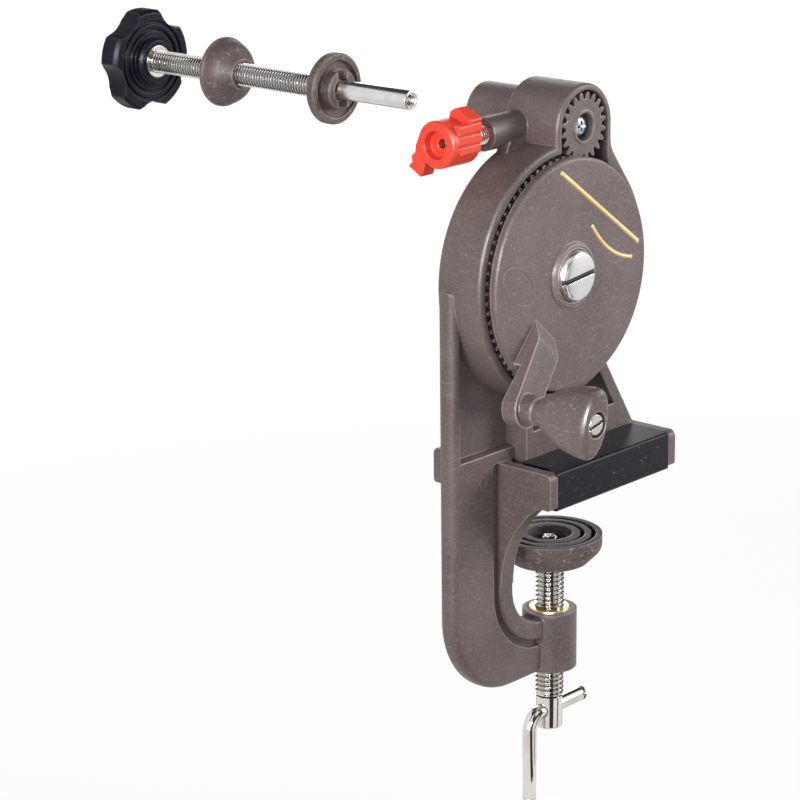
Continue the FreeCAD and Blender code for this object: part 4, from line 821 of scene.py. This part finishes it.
def wireRing(name, ring, face):
    # thin raised wire along an ellipse on a face; sizes in mm and degrees
    mesh = bmesh.new()
    steps, sides, wire = ring["steps"], ring["sides"], ring["wire"] * mm
    wide, high = ring["half"]
    rings = []
    for step in range(steps):
        angle = 2 * math.pi * step / steps
        outward = Vector((math.cos(angle) / wide, math.sin(angle) / high, 0)).normalized()
        spot = Vector((wide * mm * math.cos(angle), high * mm * math.sin(angle), 0))
        turns = [2 * math.pi * side / sides for side in range(sides)]
        rings.append([mesh.verts.new(
            spot + outward * wire * math.cos(a) + Vector((0, 0, wire * math.sin(a)))) for a in turns])
    for step in range(steps):
        here, there = rings[step], rings[(step + 1) % steps]
        for side in range(sides):
            after = (side + 1) % sides
            mesh.faces.new((here[side], here[after], there[after], there[side]))
    across, up = ring["centre"]
    place = face @ Matrix.Translation((across * mm, up * mm, 0)) @ spin(ring["turn"], "Z")
    return settle(addSolid(name, mesh, brownPlastic, place), 80.0)


leastRing = {"steps": 72, "sides": 8, "turn": 0.0, "wire": 0.14}
markSizes = {
    "boltProud": 3.3 * mm, "legFace": -3.3 * mm, "thick": 0.1 * mm, "proud": 0.05 * mm, "steps": 24,
    "stripes": {
        "barStripe": (1.5 * mm, ((-5.6, 33.2), (13.6, 19.1), (32.8, 5.0))),
        "sweepStripe": (1.3 * mm, ((9.7, 13.8), (17.5, 2.6), (29.6, 0.4)))},
    "oval": dict(leastRing, centre=(-26.2, 1.2), half=(8.6, 5.0), turn=-38.0, wire=0.26),
    "legRings": {
        "mold_ring_a": dict(leastRing, centre=(-27.7, -64.1), half=(1.7, 1.7)),
        "mold_ring_b": dict(leastRing, centre=(-25.7, -107.3), half=(2.6, 2.6))}}


def makeFaceMarks():
    # plain gold stripes and a bare raised oval on the disc, and bare rings from the mould on the leg
    sizes = markSizes
    tree = buildStripeTree()
    hub = pivots["wheel_spin"]
    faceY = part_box("wheel_bolt")[0].y + sizes["boltProud"]
    discFace = Matrix.Translation((hub.x, faceY, hub.z)) @ spin(90, "X")
    legFace = Matrix.Translation((hub.x, sizes["legFace"], hub.z)) @ spin(90, "X")
    height = sizes["proud"] - sizes["thick"] / 2
    stripes = []
    for name, (width, line) in sizes["stripes"].items():
        start, middle, end = [(x * mm, z * mm, height) for x, z in line]
        stripes.append(bakeTree(name, tree, {
            "Start": start, "Middle": middle, "End": end, "Width": width, "Thickness": sizes["thick"],
            "Steps": sizes["steps"], "Material": goldFoil}, discFace))
    standIn(joined("gold_stripes", stripes), "wheel", "brass")
    standIn(wireRing("raised_oval", sizes["oval"], discFace), "wheel", "brown_plastic")
    for name, ring in sizes["legRings"].items():
        standIn(wireRing(name, ring, legFace), "frame", "brown_plastic")


makeSpindle()
makeClampScrew()
makeBrakeScrew()
makeBar()
makeWheelBolt()
makeWheelNut()
makePinionScrew()
makeFaceMarks()
print("threaded and plated pieces made")


def seenRays(graph):
    # 1 for the camera and for what glossy metal mirrors, 0 for what lights the object
    path = graph.add("ShaderNodeLightPath", None, None, "Is Camera Ray")
    return (path + path.out("Is Glossy Ray") + path.out("Is Transmission Ray")).clamp()


stageSizes = {
    "world": 0.2, "floorSide": 6.0, "floorDrop": 2.0 * mm, "floorGlow": 1.06,
    "floorColour": (0.8, 0.8, 0.8, 1), "shadowShare": 0.14, "shadowSpan": (0.3, 0.8)}


def makeWorld():
    world = bpy.data.worlds.new("studio")
    bpy.context.scene.world = world
    world.use_nodes = True
    world.node_tree.nodes.clear()
    graph = Graph(world.node_tree)
    plain = stageSizes["world"]
    level = plain + seenRays(graph) * (1 - plain)
    sky = graph.add("ShaderNodeBackground", None, {"Color": white, "Strength": level})
    graph.add("ShaderNodeOutputWorld", None, {"Surface": sky})


def makeFloor():
    # white where it is seen, with a share of the object's shadow that fades with distance
    sizes = stageSizes
    side = sizes["floorSide"]
    level = cadBox[0].z - sizes["floorDrop"]
    data = bpy.data.meshes.new("floor")
    data.from_pydata(
        [(-side, -side, level), (side, -side, level), (side, side, level), (-side, side, level)],
        [], [(0, 1, 2, 3)])
    floor = addPiece("floor", data)
    material, graph, where = startMaterial("paleFloor")
    seen = seenRays(graph)
    matt = graph.add("ShaderNodeBsdfDiffuse", None, {"Color": sizes["floorColour"]})
    glow = graph.add("ShaderNodeEmission", None, {"Color": white, "Strength": sizes["floorGlow"]})
    away = graph.add("ShaderNodeVectorMath", {"operation": "LENGTH"}, [where], "Value")
    shadow = (1 - graph.step(away, sizes["shadowSpan"])) * sizes["shadowShare"]
    both = graph.add("ShaderNodeMixShader", None, [seen * (1 - shadow), matt, glow])
    graph.add("ShaderNodeOutputMaterial", None, {"Surface": both})
    data.materials.append(material)


lampSizes = {  # rise is how far above the object's middle a lamp aims
    "rightLamp": {
        "place": (0.65, -0.6, 0.4), "rise": 0.12, "size": (0.5, 0.5), "power": 0.95, "spread": 55},
    "leftLamp": {
        "place": (-0.95, -0.15, 0.3), "rise": 0.12, "size": (0.5, 0.5), "power": 0.85, "spread": 55},
    "frontLamp": {
        "place": (-0.6, -0.65, -0.04), "rise": 0.0, "size": (0.3, 0.2), "power": 0.6, "spread": 180},
    "backLamp": {
        "place": (0.6, 0.9, 0.3), "rise": 0.0, "size": (0.7, 0.7), "power": 3.5, "spread": 180},
    "glintLamp": {
        "place": (-0.7, -0.62, 0.34), "rise": 0.0, "size": (0.16, 0.16), "power": 1.6, "spread": 40}}


def addLamp(name, sizes):
    lamp = bpy.data.lights.new(name, "AREA")
    lamp.spread = math.radians(sizes["spread"])
    lamp.shape = "RECTANGLE"
    lamp.size, lamp.size_y = sizes["size"]
    lamp.energy = sizes["power"]
    aim = (cadBox[0] + cadBox[1]) / 2 + Vector((0, 0, sizes["rise"]))
    place = Vector(sizes["place"])
    thing = addPiece(name, lamp)
    thing.location = place
    thing.rotation_euler = (aim - place).to_track_quat("-Z", "Y").to_euler()
    return thing


cardSizes = {
    "inner": 22 * mm, "outer": 0.5, "top": 0.7, "lift": 1 * mm,
    "spokes": ((22, 10), (66, 7), (240, 18), (300, 6)),  # middle and half width in degrees
    "sheets": (((0.35, 0.3, 1.0), (1.5, 1.5)), ((0.25, -0.95, 0.42), (1.1, 0.5))),  # place and size
    "dark": (0.02, 0.02, 0.022, 1), "pale": (0.05, 0.05, 0.055, 1),
    "patchScale": 3.0, "patchSpan": (0.3, 0.7)}


def makeCards():
    # dark cards that only polished metal mirrors: sheets, and spokes along the floor with the far end up
    sizes = cardSizes
    material, graph, where = startMaterial("darkCard")
    patch = graph.step(graph.noise(where, sizes["patchScale"]), sizes["patchSpan"])
    tone = graph.mix(patch, sizes["dark"], sizes["pale"])
    glow = graph.add("ShaderNodeEmission", None, {"Color": tone, "Strength": 1.0})
    graph.add("ShaderNodeOutputMaterial", None, {"Surface": glow})
    low = cadBox[0].z + sizes["lift"]
    hub = pivots["clamp_turn"]
    corners, faces = [], []
    for middle, half in sizes["spokes"]:
        start = len(corners)
        for reach, height in ((sizes["inner"], low), (sizes["outer"], low), (sizes["outer"], sizes["top"])):
            for angle in (math.radians(middle - half), math.radians(middle + half)):
                corners.append((hub.x + reach * math.cos(angle), hub.y + reach * math.sin(angle), height))
        faces += [(start, start + 2, start + 3, start + 1), (start + 2, start + 4, start + 5, start + 3)]
    for place, (wide, high) in sizes["sheets"]:
        start = len(corners)
        turn = (-Vector(place)).to_track_quat("Z", "Y").to_matrix()
        for x, y in ((-1, -1), (1, -1), (1, 1), (-1, 1)):
            corners.append(Vector(place) + turn @ Vector((x * wide / 2, y * high / 2, 0)))
        faces.append((start, start + 1, start + 2, start + 3))
    data = bpy.data.meshes.new("darkCards")
    data.from_pydata(corners, [], faces)
    data.materials.append(material)
    cards = addPiece("darkCards", data)
    for kind in ("camera", "diffuse", "transmission", "volume_scatter", "shadow"):
        setattr(cards, "visible_" + kind, False)


cameraSizes = {
    "place": (-0.68977, -0.56141, 0.2895), "azimuth": -47.7365, "height": 16.4819, "roll": -0.6936,
    "lens": 129.236, "sensor": 36.0, "clip": 0.01}


def makeCamera():
    sizes = cameraSizes
    data = bpy.data.cameras.new("camera")
    data.sensor_width = sizes["sensor"]
    data.lens = sizes["lens"]
    data.clip_start = sizes["clip"]
    camera = addPiece("camera", data)
    camera.matrix_world = (
        Matrix.Translation(sizes["place"]) @ spin(sizes["azimuth"], "Z") @ spin(90 - sizes["height"], "X")
        @ spin(sizes["roll"], "Z"))
    bpy.context.scene.camera = camera


makeWorld()
makeFloor()
lamps = {name: addLamp(name, sizes) for name, sizes in lampSizes.items()}
lamps["glintLamp"].visible_diffuse = False  # only adds highlights along rounded edges
makeCards()
makeCamera()
bpy.context.scene.view_settings.view_transform = "Standard"
print("stage, lamps and camera set")
